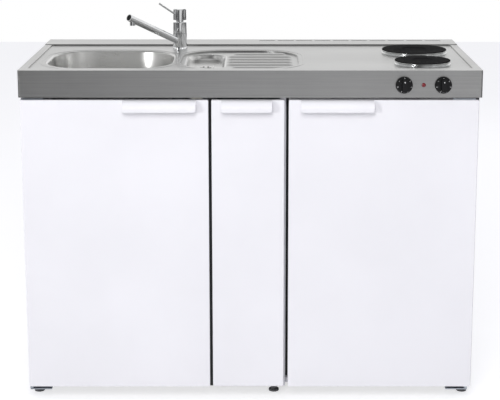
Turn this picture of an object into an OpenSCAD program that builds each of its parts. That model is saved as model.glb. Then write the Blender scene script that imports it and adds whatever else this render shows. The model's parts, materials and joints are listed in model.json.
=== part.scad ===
// Metal kitchenette unit: stainless worktop with pressed sink and two hotplates, a cabinet with a
// hinged door and a narrow pull-out, and an undercounter refrigerator.
// Frame: X across the unit from its middle, Y from the front (-) to the wall (+), Z up from the floor.
// Depths inside the modules count from the worktop's front face; in_frame() puts them in the frame.

/* [Unit] */
// Width of the worktop
unit_w = 1200; // [1180:10:1260]
// Depth of the worktop, front to wall
worktop_depth = 600; // [590:5:640]
// Height of the worktop's rim above the floor
worktop_height = 900; // [880:5:950]
// Worktop overhang past the cabinet on each side
side_reveal = 4; // [3:1:6]
// Space between the cabinet's back and the wall
wall_space = 15; // [10:1:25]
// Thickness of the stainless sheet
steel_t = 1.5; // [1:0.1:2]
// Thickness of the painted cabinet sheet
sheet_t = 1.5; // [1:0.1:2]
// Height of the floor tray's underside
foot_h = 32; // [30:1:36]
// Height of the folded edge round the floor
floor_fold = 16; // [12:1:18]

/* [Bays] */
// Left side of the cabinet to the middle of the first divider
sink_bay_w = 491; // [485:1:495]
// First divider to the far face of the second
pullout_bay_w = 198.5; // [195:0.5:205]
// Width of a divider's front flange
flange_w = 16; // [12:1:18]

/* [Fronts] */
// Thickness of the left door and the narrow front
front_t = 20; // [18:1:22]
// Fronts set back behind the apron's face
front_setback = 2; // [1:0.5:3]
// Play between the fronts and the cabinet
front_play = 3; // [3:0.5:5]
// Gap between the apron and the fronts
top_gap = 7; // [6:0.5:9]
// Gap between the fronts and the floor
bottom_gap = 39; // [37:1:44]
// Gap between the left door and the narrow front
door_gap = 8; // [7:0.5:10]
// Corner radius of the folded fronts
front_r = 3; // [2:0.5:4]

/* [Grips] */
// Height of the bent grip
grip_h = 29; // [25:1:35]
// Projection of the grip in front of the door
grip_out = 23; // [20:1:24]
// Sheet thickness of the grip
grip_t = 2; // [1.5:0.25:3]
// Width of the grip on the large doors
grip_w = 190; // [150:5:240]
// Width of the grip on the narrow front
narrow_grip_w = 132; // [100:4:150]

/* [Worktop] */
// Height of the front and side aprons
apron_h = 71; // [65:1:80]
// Width of the raised rim at the front
rim_front = 38; // [30:1:44]
// Width of the raised rim at the sides
rim_side = 21; // [16:1:26]
// Depth of the field below the rim
field_drop = 3; // [2:0.5:5]
// Depth of the ledge along the wall
ledge_d = 110; // [100:2:120]
// Height of the ledge above the rim
ledge_rise = 1.5; // [1:0.5:6]
// Radius of the worktop's outer corners
corner_r = 5; // [3:1:8]
// Number of vent slots in the ledge
vent_count = 10; // [6:1:10]
// Length of a vent slot
vent_l = 49; // [40:1:50]

/* [Sink] */
// Width of the bowl
bowl_w = 345; // [320:5:350]
// Front-to-back size of the bowl
bowl_l = 338; // [320:2:345]
// Depth of the bowl
bowl_depth = 150; // [130:5:170]
// Corner radius of the bowl
bowl_r = 118; // [90:2:130]
// Width of the drainer tray
tray_w = 318; // [300:2:320]
// Front-to-back size of the drainer tray
tray_l = 342; // [330:2:346]
// Depth of the drainer tray
tray_drop = 5; // [4:0.5:8]
// Width of the small dish in the tray
dish_w = 107; // [100:1:110]
// Front-to-back size of the small dish
dish_l = 278; // [240:2:280]
// Depth of the small dish below the tray
dish_depth = 18; // [14:1:24]
// Number of ribs on the drainer
rib_count = 6; // [4:1:6]
// Distance between the ribs
rib_pitch = 49; // [44:1:50]

/* [Tap] */
// Diameter of the tap body
tap_d = 38; // [36:1:42]
// Height of the tap
tap_h = 117; // [110:1:130]
// Diameter of the spout
spout_d = 20; // [18:0.5:22]
// Length of the spout from the tap's axis
spout_l = 210; // [190:5:230]
// Rise of the spout in degrees
spout_rise = 24; // [20:1:30]
// Direction of the spout and the lever in degrees, counted from the right
spout_turn = 226.5; // [215:0.5:240]
// Length of the pin lever outside the cap
lever_l = 68; // [50:1:75]

/* [Hob] */
// Diameter of the rear hotplate
rear_plate_d = 180; // [170:5:185]
// Diameter of the front hotplate
front_plate_d = 148; // [140:2:152]
// Height of the hotplates above the worktop's rim
plate_rise = 8.5; // [7:0.5:14]
// Diameter of the knobs
knob_d = 44; // [40:1:48]
// Projection of the knobs in front of the apron
knob_out = 24; // [20:1:28]
// Distance between the knobs
knob_pitch = 101; // [90:1:110]

/* [Refrigerator] */
// Thickness of the refrigerator's door
fridge_door_t = 45; // [40:1:50]
// Thickness of the refrigerator's walls
fridge_wall = 32; // [28:1:36]
// Height of the freezer box
freezer_h = 130; // [120:5:140]
// Number of glass shelves
shelf_count = 3; // [2:1:3]

/* [Pull-out] */
// Travel of the pull-out
pullout_travel = 400; // [350:10:420]
// Wire thickness of the baskets
wire_d = 5; // [4:0.5:6]

/* [Hidden] */
$fn = 48;
eps = 0.01;
// Running clearance of a pin in its bore, seat gap between bodies, and a loose fit
run_fit = 0.05;
seat = 0.3;
loose = 1;

// Widths
body_l = -unit_w / 2 + side_reveal;
body_r = unit_w / 2 - side_reveal;
divider_l = body_l + sink_bay_w;
divider_r = divider_l + pullout_bay_w;
// Depths, from the worktop's front face
front_y = -(worktop_depth - knob_out) / 2;
front_back = front_setback + front_t;
body_front = front_back + front_play;
body_back = worktop_depth - wall_space;
// Heights
apron_z = worktop_height - apron_h;
front_top = apron_z - top_gap;
floor_z = foot_h + floor_fold;
field_z = worktop_height - field_drop;
ledge_z = worktop_height + ledge_rise;
rail_h = 14;
rail_d = 20;
panel_top = worktop_height - field_drop - steel_t;

// Front outlines, left and right edges
left_front = [body_l, divider_l - door_gap / 2];
narrow_front = [divider_l + door_gap / 2, divider_r - 4.5];
fridge_front = [divider_r + 6.5, body_r - 4.5];
// Pivots of the two doors: distance from the door's edge and from its face
pivot_d = 6;
pivot_in = 6;
fridge_pivot_in = 11.5;
pivot_back = 10;
left_pivot_x = left_front[0] + pivot_in;
fridge_pivot_x = fridge_front[1] - fridge_pivot_in;
pivot_y = front_setback + pivot_back;
pivot_plate_t = 2.5;
pivot_plate_z = front_top + 1.2;
rail_z = pivot_plate_z + pivot_plate_t;

// Bowl, tray and dish
bowl_x0 = -unit_w / 2 + 50;
sink_y0 = rim_front + 13;
tray_x0 = bowl_x0 + bowl_w + 17;
dish_x0 = tray_x0 + 13;
dish_y0 = sink_y0 + 19;
bowl_c = [bowl_x0 + bowl_w / 2, sink_y0 + bowl_l / 2];
tray_c = [tray_x0 + tray_w / 2, sink_y0 + tray_l / 2];
dish_c = [dish_x0 + dish_w / 2, dish_y0 + dish_l / 2];
tray_r = 110;
tray_z = field_z - tray_drop;
dish_r = dish_w / 2 - 1;
dish_floor = tray_z - dish_depth;
bowl_floor = field_z - bowl_depth;
ring_steps = 8;
bowl_drain_r = 22;
bowl_flange_r = 34;
dish_drain_r = 16;
dish_flange_r = 24;
flange_t = 1.5;
weld_w = 10;

// Tap
tap_x = bowl_x0 + bowl_w + 3;
tap_y = sink_y0 + bowl_l + 21;
tap_hole_r = 17;
cap_h = 31;
groove_h = 6;
collar_h = 9;
sleeve_top = 48;
spout_start = 22.5;
lever_h = 96;
lever_rise = 30;
lever_d = 6;
cap_wall = 3;
neck_r = 11;

// Hob
hob_x = unit_w / 2 - 141;
switch_x = unit_w / 2 - 152.5;
rear_plate = [hob_x, 349];
front_plate = [hob_x, 139];
plate_t = 13;
ring_h = 9;
knob_z = apron_z + apron_h * 0.465;
shaft_d = 6;

// Refrigerator
fridge_l = fridge_front[0] + 2;
fridge_r = fridge_front[1] - 1.5;
gasket_t = 10;
fridge_y0 = front_setback + fridge_door_t + gasket_t;
fridge_y1 = body_back - 45;
fridge_z0 = foot_h + floor_fold + 12;
fridge_z1 = front_top - 4;
liner_t = 2;
skin_t = 1.2;
cavity_l = fridge_l + fridge_wall;
cavity_r = fridge_r - fridge_wall;
cavity_y1 = fridge_y1 - fridge_wall;
cavity_z0 = fridge_z0 + fridge_wall;
cavity_z1 = fridge_z1 - fridge_wall;
step_h = 150;
step_d = 130;
freezer_z0 = cavity_z1 - freezer_h - 6;
freezer_y0 = fridge_y0 + 128;
rack_d = 88;

// Pull-out
bay_l = divider_l + sheet_t / 2;
bay_r = divider_r - sheet_t;
runner_h = 34;
runner_l = 470;
runner_y = body_front + 6;
frame_w = 128;
frame_x = (narrow_front[0] + narrow_front[1]) / 2;
frame_y0 = front_back + 4;
frame_y1 = body_back - 62;
basket_h = 72;
basket_low = floor_z + runner_h + 30;
basket_pitch = (front_top - floor_z) * 0.31;
basket_z = [basket_low, basket_low + basket_pitch, basket_low + 2 * basket_pitch];

module in_frame() {
    translate([0, front_y, 0]) children();
}

// Box between two opposite corners
module block(lo, hi) {
    translate(lo) cube(hi - lo);
}

// Rounded rectangle from squares and circles, so that its corners are true arcs
module round_rect(lo, hi, r) {
    translate([lo[0] + r, lo[1]]) square([hi[0] - lo[0] - 2 * r, hi[1] - lo[1]]);
    translate([lo[0], lo[1] + r]) square([hi[0] - lo[0], hi[1] - lo[1] - 2 * r]);
    for (x = [lo[0] + r, hi[0] - r], y = [lo[1] + r, hi[1] - r]) translate([x, y]) circle(r);
}

// Slab with rounded vertical edges
module slab(lo, hi, r) {
    translate([0, 0, lo[2]]) linear_extrude(hi[2] - lo[2]) round_rect([lo[0], lo[1]], [hi[0], hi[1]], r);
}

// Slab with rounded edges along Y, seen from the front
module front_slab(lo, hi, r) {
    translate([0, hi[1], 0]) rotate([90, 0, 0]) linear_extrude(hi[1] - lo[1])
        round_rect([lo[0], lo[2]], [hi[0], hi[2]], r);
}

// Slot with round ends
module slot(l, w) {
    translate([-l / 2 + w / 2, -w / 2]) square([l - w, w]);
    for (side = [-1, 1]) translate([side * (l - w) / 2, 0]) circle(w / 2);
}

// Cylinder along Y from y0 to y1
module rod_y(x, z, y0, y1, r) {
    translate([x, y1, z]) rotate([90, 0, 0]) cylinder(h = y1 - y0, r = r);
}

// One closed ring of points on a rounded rectangle: middle, half sizes, corner radius, height
function ring(mid, half, r, z) = [
    for (corner = [0:3], step = [0:ring_steps])
        let (a = 90 * (corner + step / ring_steps),
             sx = (corner == 0 || corner == 3) ? 1 : -1,
             sy = corner < 2 ? 1 : -1)
        [mid[0] + sx * (half[0] - r) + r * cos(a), mid[1] + sy * (half[1] - r) + r * sin(a), z]
];
function joined(lists) = [for (one = lists, item = one) item];

// Closed skin through a list of rings, the last joined to the first
module ring_skin(rings) {
    n = len(rings[0]);
    m = len(rings);
    polyhedron(
        points = joined(rings),
        faces = joined([for (i = [0:m - 1], j = [0:n - 1])
            let (a = i * n + j, b = i * n + (j + 1) % n,
                 c = ((i + 1) % m) * n + (j + 1) % n, d = ((i + 1) % m) * n + j)
            [[a, b, c], [a, c, d]]]));
}

// Quarter bend of a pressed sheet: points [inset, height] from a start angle to an end angle
function bend(inset, z, r, from, to, steps) = [
    for (i = [0:steps]) let (a = from + (to - from) * i / steps) [inset + r * cos(a), z + r * sin(a)]
];

// Pressed dish: a sheet that turns down from its rim, falls with a draft and ends at a round drain
module pressed_dish(mid, half, r, top_z, floor_z, draft, foot_r, drain, flange) {
    lip_r = 5;
    lean = (top_z - floor_z) * tan(draft);
    upper = concat(
        [[-weld_w, top_z - steel_t], [0, top_z - steel_t], [0, top_z]],
        bend(1, top_z - lip_r, lip_r, 85, 10, 3),
        bend(lip_r + lean + foot_r, floor_z + foot_r, foot_r, 185, 265, 5));
    lower = concat(
        bend(lip_r + lean + foot_r, floor_z + foot_r, foot_r + steel_t, 265, 185, 5),
        [[lip_r - steel_t, top_z - lip_r - steel_t], [-weld_w, top_z - 2 * steel_t]]);
    sink = floor_z - 4;
    ring_skin(concat(
        [for (p = upper) ring(mid, half - [p[0], p[0]], max(r - p[0], foot_r), p[1])],
        [for (p = [[flange + 6, floor_z], [flange, sink], [drain, sink]]) ring(mid, [p[0], p[0]], p[0], p[1])],
        [for (p = [[drain, sink], [flange, sink], [flange + 6, floor_z]])
            ring(mid, [p[0], p[0]], p[0], p[1] - steel_t)],
        [for (p = lower) ring(mid, half - [p[0], p[0]], max(r - p[0], foot_r), p[1])]));
}

// ---- Worktop, sink and drainer ----

// Solid outline of the worktop, taken in by the sheet's thickness for its hollow underside
module worktop_form(t) {
    lip = 3;
    x0 = -unit_w / 2 + t;
    x1 = unit_w / 2 - t;
    y1 = worktop_depth - t;
    difference() {
        slab([x0, t, apron_z - (t > 0 ? 1 : 0)], [x1, y1, worktop_height - t], corner_r - t);
        slab([-unit_w / 2 + rim_side - t, rim_front - t, field_z - t],
             [unit_w / 2 - rim_side + t, worktop_depth - ledge_d + t, worktop_height + 1], corner_r + t);
    }
    translate([x0, 0, 0]) rotate([90, 0, 90]) linear_extrude(x1 - x0) polygon([
        [worktop_depth - ledge_d + t, field_z - t - eps], [worktop_depth - ledge_d + lip + t, ledge_z - t],
        [y1, ledge_z - t], [y1, field_z - t - eps]]);
}

module vent_slots() {
    pitch = vent_l + 5.5;
    last_x = unit_w / 2 - 37 - vent_l / 2;
    for (i = [0:vent_count - 1])
        translate([last_x - i * pitch, worktop_depth - 29, ledge_z - 3 * steel_t])
            linear_extrude(5 * steel_t) slot(vent_l, 8);
}

module worktop() {
    back_apron = 24;
    return_w = 12;
    color("silver") in_frame() difference() {
        worktop_form(0);
        difference() {
            worktop_form(steel_t);
            difference() {
                block([-unit_w, 0, apron_z], [unit_w, worktop_depth, apron_z + steel_t]);
                block([-unit_w / 2 + side_reveal - seat, return_w, apron_z - 1],
                      [unit_w / 2 - side_reveal + seat, worktop_depth + 1, apron_z + steel_t + 1]);
            }
        }
        block([-unit_w / 2 + side_reveal, worktop_depth - 2 * steel_t, apron_z - 1],
              [unit_w / 2 - side_reveal, worktop_depth + 1, worktop_height - back_apron]);
        slab([bowl_x0, sink_y0, field_z - 9], [bowl_x0 + bowl_w, sink_y0 + bowl_l, ledge_z], bowl_r);
        slab([tray_x0, sink_y0, field_z - 9], [tray_x0 + tray_w, sink_y0 + tray_l, ledge_z], tray_r);
        translate([tap_x, tap_y, field_z - 9]) cylinder(h = 20, r = tap_hole_r);
        for (p = [[rear_plate, rear_plate_d], [front_plate, front_plate_d]])
            translate([p[0][0], p[0][1], field_z - 9]) cylinder(h = 20, r = p[1] / 2 - 8);
        for (x = knob_xs()) rod_y(x, knob_z, -1, steel_t + 1, shaft_d / 2 + loose);
        rod_y(switch_x, knob_z, -1, steel_t + 1, 4);
        vent_slots();
    }
}

module sink_bowl() {
    color("lightgray") in_frame()
        pressed_dish(bowl_c, [bowl_w, bowl_l] / 2, bowl_r, field_z, bowl_floor, 4, 26,
                     bowl_drain_r, bowl_flange_r);
}

// Ridge along X with round ends: a segment of a cylinder between two caps of a sphere
module rib(l, w, h) {
    r = (w * w / 4 + h * h) / (2 * h);
    intersection() {
        union() {
            translate([-l / 2 + w / 2, 0, h - r]) rotate([0, 90, 0]) cylinder(h = l - w, r = r, $fn = 96);
            for (side = [-1, 1]) translate([side * (l - w) / 2, 0, h - r]) sphere(r, $fn = 96);
        }
        translate([-l, -w, -0.5]) cube([2 * l, 2 * w, h + 1]);
    }
}

module drainer_tray() {
    pan_t = steel_t;
    rib_x0 = dish_x0 + dish_w + 2;
    rib_x1 = tray_x0 + tray_w - 14;
    color("silver") in_frame() {
        difference() {
            union() {
                slab([tray_x0 + seat, sink_y0 + seat, tray_z - pan_t],
                     [tray_x0 + tray_w - seat, sink_y0 + tray_l - seat, field_z], tray_r);
                slab([tray_x0 - weld_w / 2, sink_y0 - weld_w / 2, field_z - 2 * steel_t],
                     [tray_x0 + tray_w + weld_w / 2, sink_y0 + tray_l + weld_w / 2, field_z - steel_t],
                     tray_r + weld_w / 2);
            }
            slab([tray_x0 + steel_t, sink_y0 + steel_t, tray_z],
                 [tray_x0 + tray_w - steel_t, sink_y0 + tray_l - steel_t, field_z + 1], tray_r - steel_t);
            slab([dish_x0, dish_y0, tray_z - 9], [dish_x0 + dish_w, dish_y0 + dish_l, field_z], dish_r);
        }
        for (i = [0:rib_count - 1])
            translate([(rib_x0 + rib_x1) / 2, tray_c[1] + (i - (rib_count - 1) / 2) * rib_pitch, tray_z])
                rib(rib_x1 - rib_x0 - (i == 0 || i == rib_count - 1 ? 30 : 0),
                    rib_pitch - 14, tray_drop - 0.8);
        difference() {
            slab([dish_x0, dish_y0, dish_floor - steel_t],
                 [dish_x0 + dish_w, dish_y0 + dish_l, tray_z - eps], dish_r);
            slab([dish_x0 + steel_t, dish_y0 + steel_t, dish_floor],
                 [dish_x0 + dish_w - steel_t, dish_y0 + dish_l - steel_t, tray_z + 1], dish_r - steel_t);
            translate([dish_c[0], dish_c[1], dish_floor - 9]) cylinder(h = 18, r = dish_drain_r);
        }
    }
}

// ---- Wastes and trap ----

trap_y = dish_c[1] + 90;
main_z = bowl_floor - 42;
dish_pipe_z = dish_floor - 28;
pipe_r = 20;
dish_pipe_r = 16;
pipe_wall = 2;
trap_r = 31;
trap_x = min(dish_c[0] - dish_flange_r - 20, divider_l - trap_r - 29.5);
trap_top = main_z - pipe_r - 12;
outlet_z = trap_top - 44;
outlet_l = 38;
outlet_y1 = worktop_depth - 2;

// Waste fitting: flange in the sink, neck through its hole, cup below
module waste_fitting(mid, seat_z, hole_r, flange_r, cup_h) {
    translate([mid[0], mid[1], 0]) difference() {
        union() {
            translate([0, 0, seat_z]) cylinder(h = 2, r = flange_r);
            translate([0, 0, seat_z - steel_t - 1]) cylinder(h = steel_t + 2, r = hole_r - run_fit);
            translate([0, 0, seat_z - steel_t - cup_h]) cylinder(h = cup_h, r = flange_r);
        }
        translate([0, 0, seat_z - steel_t - cup_h + 3]) cylinder(h = cup_h + 9, r = hole_r - 3);
    }
}

module bowl_waste() {
    color("gainsboro") in_frame()
        waste_fitting(bowl_c, bowl_floor - 4, bowl_drain_r, bowl_flange_r - 2, 54);
}

// The dish's fitting carries a slotted strainer plate
module dish_waste() {
    strainer_t = 1.5;
    color("gainsboro") in_frame() {
        waste_fitting(dish_c, dish_floor, dish_drain_r, dish_flange_r - 1.5, 40);
        translate([dish_c[0], dish_c[1], dish_floor + 2]) linear_extrude(strainer_t) difference() {
            circle(dish_drain_r - 1);
            for (side = [-1, 1], row = [-1, 1])
                translate([side * 6, row * 6.5]) rotate(90) slot(9, 5);
            circle(1.5);
        }
        for (turn = [0:3]) rotate_about(dish_c, 90 * turn + 45)
            translate([dish_drain_r - 4, -1.5, dish_floor + 1]) cube([4, 3, 1.5]);
    }
}

module rotate_about(mid, angle) {
    translate([mid[0], mid[1], 0]) rotate([0, 0, angle]) children();
}

// The connecting pipe runs right from the bowl, down from the dish and back to the trap
module waste_pipe() {
    cup_x = bowl_c[0] + bowl_flange_r - 2;
    dish_cup_x = dish_c[0] - dish_flange_r + 1.5;
    color("white") in_frame() difference() {
        union() {
            translate([cup_x, bowl_c[1], main_z]) rotate([0, 90, 0]) cylinder(h = trap_x - cup_x, r = pipe_r);
            rod_y(trap_x, main_z, dish_c[1], trap_y, pipe_r);
            for (y = [dish_c[1], trap_y]) translate([trap_x, y, main_z]) sphere(pipe_r);
            translate([trap_x, trap_y, trap_top]) cylinder(h = main_z - trap_top, r = pipe_r);
            translate([trap_x, dish_c[1], main_z]) cylinder(h = dish_pipe_z - main_z, r = dish_pipe_r);
            translate([trap_x, dish_c[1], dish_pipe_z]) sphere(dish_pipe_r);
            translate([trap_x, dish_c[1], dish_pipe_z]) rotate([0, 90, 0])
                cylinder(h = dish_cup_x - trap_x, r = dish_pipe_r);
            translate([trap_x, dish_c[1], main_z + pipe_r + 8]) cylinder(h = 26, r = dish_pipe_r + 6);
        }
        translate([trap_x, trap_y, trap_top - 1]) cylinder(h = main_z - trap_top, r = pipe_r - pipe_wall);
    }
}

// Bottle trap: cap nut, bottle with a screw base, and the outlet to the wall
module bottle_trap() {
    bottle_h = 96;
    base_h = 22;
    color("white") in_frame() difference() {
        union() {
            translate([trap_x, trap_y, trap_top - 30]) cylinder(h = 30 - eps, r = pipe_r + 6);
            translate([trap_x, trap_y, trap_top - 30 - bottle_h]) cylinder(h = bottle_h, r = trap_r);
            translate([trap_x, trap_y, trap_top - 30 - bottle_h]) cylinder(h = base_h, r = trap_r + 3);
            for (turn = [0:30:330]) rotate_about([trap_x, trap_y], turn)
                translate([trap_r + 1, -3, trap_top - 30 - bottle_h]) cube([4.5, 6, base_h]);
            rod_y(trap_x, outlet_z, trap_y, outlet_y1 - outlet_l, pipe_r - 1.5);
            rod_y(trap_x, outlet_z, outlet_y1 - outlet_l, outlet_y1, pipe_r);
            rod_y(trap_x, outlet_z, trap_y + trap_r - 2, trap_y + trap_r + 16, pipe_r + 5);
        }
        translate([trap_x, trap_y, trap_top - 26 - bottle_h])
            cylinder(h = bottle_h + 40, r = pipe_r - pipe_wall);
        rod_y(trap_x, outlet_z, trap_y, outlet_y1 + 1, pipe_r - 3.5);
    }
}

// ---- Tap ----

cap_z = field_z + tap_h - cap_h;
body_top = cap_z - groove_h;

module at_tap(turn = 0) {
    in_frame() translate([tap_x, tap_y, 0]) rotate([0, 0, turn]) children();
}

// Body of turned brass: foot collar, slim core for the swivelling sleeve, upper barrel and neck
module tap_body() {
    r = tap_d / 2;
    color("silver") at_tap() {
        rotate_extrude() polygon([
            [0, field_z], [r + 2, field_z], [r + 2, field_z + 4], [r + 1, field_z + collar_h],
            [r - 5, field_z + collar_h], [r - 5, field_z + sleeve_top + seat],
            [r, field_z + sleeve_top + seat],
            [r, body_top - 1], [r - 1, body_top], [neck_r, body_top], [neck_r, cap_z + 8], [0, cap_z + 8]]);
        translate([0, 0, field_z - steel_t - 40]) cylinder(h = 40 + steel_t + eps, r = tap_hole_r - seat);
    }
}

module tap_shank_nut() {
    nut_z = field_z - steel_t;
    color("goldenrod") at_tap() {
        difference() {
            union() {
                translate([0, 0, nut_z - 3]) cylinder(h = 3, r = 25);
                translate([0, 0, nut_z - 13]) cylinder(h = 10, r = 23, $fn = 6);
            }
            translate([0, 0, nut_z - 20]) cylinder(h = 30, r = tap_hole_r - seat + run_fit);
        }
    }
}

// Spout: a sleeve round the core and a straight tube rising from it, with the nozzle under its tip
module spout() {
    sleeve_r = tap_d / 2 + 0.5;
    tip_wall = 2;
    nozzle_r = 7.5;
    core = tap_d / 2 - 5 + run_fit;
    color("silver") at_tap(spout_turn) difference() {
        union() {
            translate([0, 0, field_z + collar_h + seat])
                cylinder(h = sleeve_top - collar_h - seat, r = sleeve_r);
            translate([0, 0, field_z + spout_start]) rotate([0, 90 - spout_rise, 0]) difference() {
                translate([0, 0, 14]) cylinder(h = spout_l - 14, r = spout_d / 2);
                translate([0, 0, spout_l - tip_wall]) cylinder(h = 9, r = spout_d / 2 - 1.5);
            }
            spout_nozzle(nozzle_r);
        }
        translate([0, 0, field_z]) cylinder(h = sleeve_top + 9, r = core);
    }
}

// Nozzle that points down near the spout's tip, with its opening
module spout_nozzle(r) {
    reach = spout_l - 14;
    x = reach * cos(spout_rise);
    z = field_z + spout_start + reach * sin(spout_rise);
    translate([x, 0, z - spout_d / 2 - 7]) difference() {
        cylinder(h = 12, r = r);
        translate([0, 0, -1]) cylinder(h = 4, r = r - 2);
    }
}

// Stem of the cartridge, with the fork that the cap tips on
module lever_stem() {
    color("dimgray") at_tap(spout_turn) {
        translate([0, 0, cap_z + 8 + seat]) cylinder(h = 5, r = 6);
        translate([-3, -5, cap_z + 13]) cube([6, 10, 6]);
        translate([0, 10, cap_z + 16]) rotate([90, 0, 0]) cylinder(h = 20, r = 2);
    }
}

module lever_cap() {
    r = tap_d / 2;
    color("silver") at_tap(spout_turn) {
        difference() {
            rotate_extrude() polygon([
                [0, cap_z], [r - 0.5, cap_z], [r, cap_z + 0.5], [r, cap_z + cap_h - 2],
                [r - 2, cap_z + cap_h], [0, cap_z + cap_h]]);
            translate([0, 0, cap_z - 1]) cylinder(h = cap_h - cap_wall - 4, r = r - cap_wall);
        }
        for (side = [-1, 1]) difference() {
            translate([-4, side * 8.8 - 2, cap_z + 11]) cube([8, 4, cap_h - cap_wall - 12]);
            translate([0, side * 8.8 + 4, cap_z + 16]) rotate([90, 0, 0]) cylinder(h = 8, r = 2 + run_fit);
        }
        translate([r - cap_wall / 2, 0, cap_z + cap_h - 14]) rotate([0, 90 - lever_rise, 0]) {
            cylinder(h = lever_l, r = lever_d / 2);
            translate([0, 0, lever_l]) sphere(lever_d / 2);
        }
    }
}

// ---- Hob ----

plate_top = worktop_height + plate_rise;
plate_lip = plate_top - 3;
plate_foot = field_z - 14;
plate_shoulder = 12;

function knob_xs() = [switch_x - knob_pitch / 2, switch_x + knob_pitch / 2];

// Cast hotplate: raised annulus round a shallow middle, on a narrower body
module hotplate(mid, d) {
    r = d / 2;
    hollow_r = r * 0.36;
    color([0.15, 0.15, 0.16]) in_frame() translate([mid[0], mid[1], 0]) rotate_extrude($fn = 96) polygon([
        [0, plate_top - 1.5], [hollow_r, plate_top - 1.5], [hollow_r + 2, plate_top], [r - 1, plate_top],
        [r, plate_top - 1], [r, plate_lip], [r - plate_shoulder - 0.5, plate_lip],
        [r - plate_shoulder - 0.5, plate_foot], [0, plate_foot]]);
}

module rear_hotplate() { hotplate(rear_plate, rear_plate_d); }

module front_hotplate() { hotplate(front_plate, front_plate_d); }

module spill_rings() {
    color("silver") in_frame() for (p = [[rear_plate, rear_plate_d], [front_plate, front_plate_d]])
        translate([p[0][0], p[0][1], 0]) spill_ring(p[1] / 2);
}

// Waisted ring between the worktop and the plate's edge
module spill_ring(r) {
    inner = r - plate_shoulder;
    rotate_extrude($fn = 96) polygon([
        [inner, field_z], [r + 1, field_z], [r + 1, field_z + 1.2], [r - 2, field_z + 3],
        [r - 2, plate_lip - 4], [r - 0.5, plate_lip - 1.5], [r - 0.5, plate_lip], [inner, plate_lip]]);
}

// A bridge under each hotplate draws it down on the worktop
module hotplate_clamps() {
    bar_w = 24;
    bar_t = 3;
    color("lightslategray") in_frame() for (p = [[rear_plate, rear_plate_d], [front_plate, front_plate_d]])
        translate([p[0][0], p[0][1], 0]) {
            reach = p[1] / 2 + 6;
            block([-reach, -bar_w / 2, plate_foot - bar_t], [reach, bar_w / 2, plate_foot]);
            for (side = [-1, 1])
                translate([side * (reach - bar_t / 2) - bar_t / 2, -bar_w / 2, plate_foot - bar_t])
                cube([bar_t, bar_w, field_z - steel_t - plate_foot + bar_t]);
            translate([0, 0, plate_foot - 14]) cylinder(h = 14, r = 4);
            translate([0, 0, plate_foot - bar_t - 6]) cylinder(h = 6, r = 8, $fn = 6);
        }
}

switch_w = 38;
switch_l = 34;
spindle_in = 12;

module hob_switches() {
    color("ivory") in_frame() for (x = knob_xs()) difference() {
        union() {
            block([x - switch_w / 2, steel_t, knob_z - switch_w / 2],
                  [x + switch_w / 2, steel_t + switch_l, knob_z + switch_w / 2]);
            for (side = [-1, 1]) block([x + side * 11 - 3, steel_t + switch_l, knob_z - 8],
                                       [x + side * 11 + 3, steel_t + switch_l + 9, knob_z - 7]);
        }
        rod_y(x, knob_z, 0, steel_t + spindle_in + 1, shaft_d / 2 + run_fit);
    }
}

module pilot_lamp() {
    color("darkred") in_frame() {
        rod_y(switch_x, knob_z, -1, steel_t + 22, 4 - run_fit);
        translate([switch_x, 0, knob_z]) rotate([90, 0, 0]) rotate_extrude()
            polygon([[0, 0], [5.5, 0], [5.5, 1], [4.2, 2.6], [2.2, 3.6], [0, 4]]);
    }
}

// Box for the mains connection, open to the wall through its gland
gland_z = rail_z + rail_h + 29;
gland_r = 7;
gland_l = 14;

module terminal_box() {
    box_y0 = body_back - 64;
    wall_t = 2;
    color("whitesmoke") in_frame() difference() {
        union() {
            block([hob_x - 45, box_y0, gland_z - 13],
                  [hob_x + 45, body_back - gland_l + wall_t, gland_z + 13]);
            rod_y(hob_x, gland_z, body_back - gland_l, body_back, gland_r + 4);
            block([hob_x - 60, box_y0 + 10, gland_z + 11], [hob_x + 60, box_y0 + 30, gland_z + 13]);
            for (side = [-1, 1]) translate([hob_x + side * 57 - 3, box_y0 + 10, gland_z + 11])
                cube([6, 20, ledge_z - steel_t - gland_z - 11]);
        }
        block([hob_x - 45 + wall_t, box_y0 + wall_t, gland_z - 13 + wall_t],
              [hob_x + 45 - wall_t, body_back - gland_l - wall_t, gland_z + 13 - wall_t]);
        rod_y(hob_x, gland_z, body_back - gland_l - 2 * wall_t, body_back + 1, gland_r);
    }
}

// Knob: bevelled skirt with a tapered bar grip, on the switch's spindle
module knob(x) {
    r = knob_d / 2;
    back = 1.5;
    skirt_h = 9;
    bar_w = 13;
    color([0.12, 0.12, 0.13]) in_frame() translate([x, 0, knob_z]) rotate([90, 0, 0]) {
        translate([0, 0, back]) rotate_extrude() polygon([
            [0, 0], [r, 0], [r, 2.5], [r - 0.8, 5.5], [r - 3, skirt_h - 1], [0, skirt_h]]);
        translate([0, 0, back]) intersection() {
            linear_extrude(knob_out - back) rotate(90) slot(knob_d - 7, bar_w);
            rotate_extrude() polygon([
                [0, 0], [r, 0], [r - 3.5, skirt_h], [r - 7, knob_out - back], [0, knob_out - back]]);
        }
        translate([0, 0, -steel_t - spindle_in])
            cylinder(h = steel_t + spindle_in + back + 1, r = shaft_d / 2);
    }
}

module left_knob() { knob(knob_xs()[0]); }

module right_knob() { knob(knob_xs()[1]); }

// Plug that closes the bowl's drain, with its lifting stud
module bowl_plug() {
    seat_z = bowl_floor - 2 + seat;
    color([0.2, 0.2, 0.21]) in_frame() translate([bowl_c[0], bowl_c[1], 0]) {
        translate([0, 0, seat_z - 9]) cylinder(h = 9 + eps, r = bowl_drain_r - 3 - loose);
        translate([0, 0, seat_z]) cylinder(h = 3.5, r1 = 25, r2 = 23);
        translate([0, 0, seat_z + 3.5 - eps]) cylinder(h = 9, r = 3);
        translate([0, 0, seat_z + 10]) sphere(5);
    }
}

// ---- Cabinet ----

panel_fold = 20;

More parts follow.
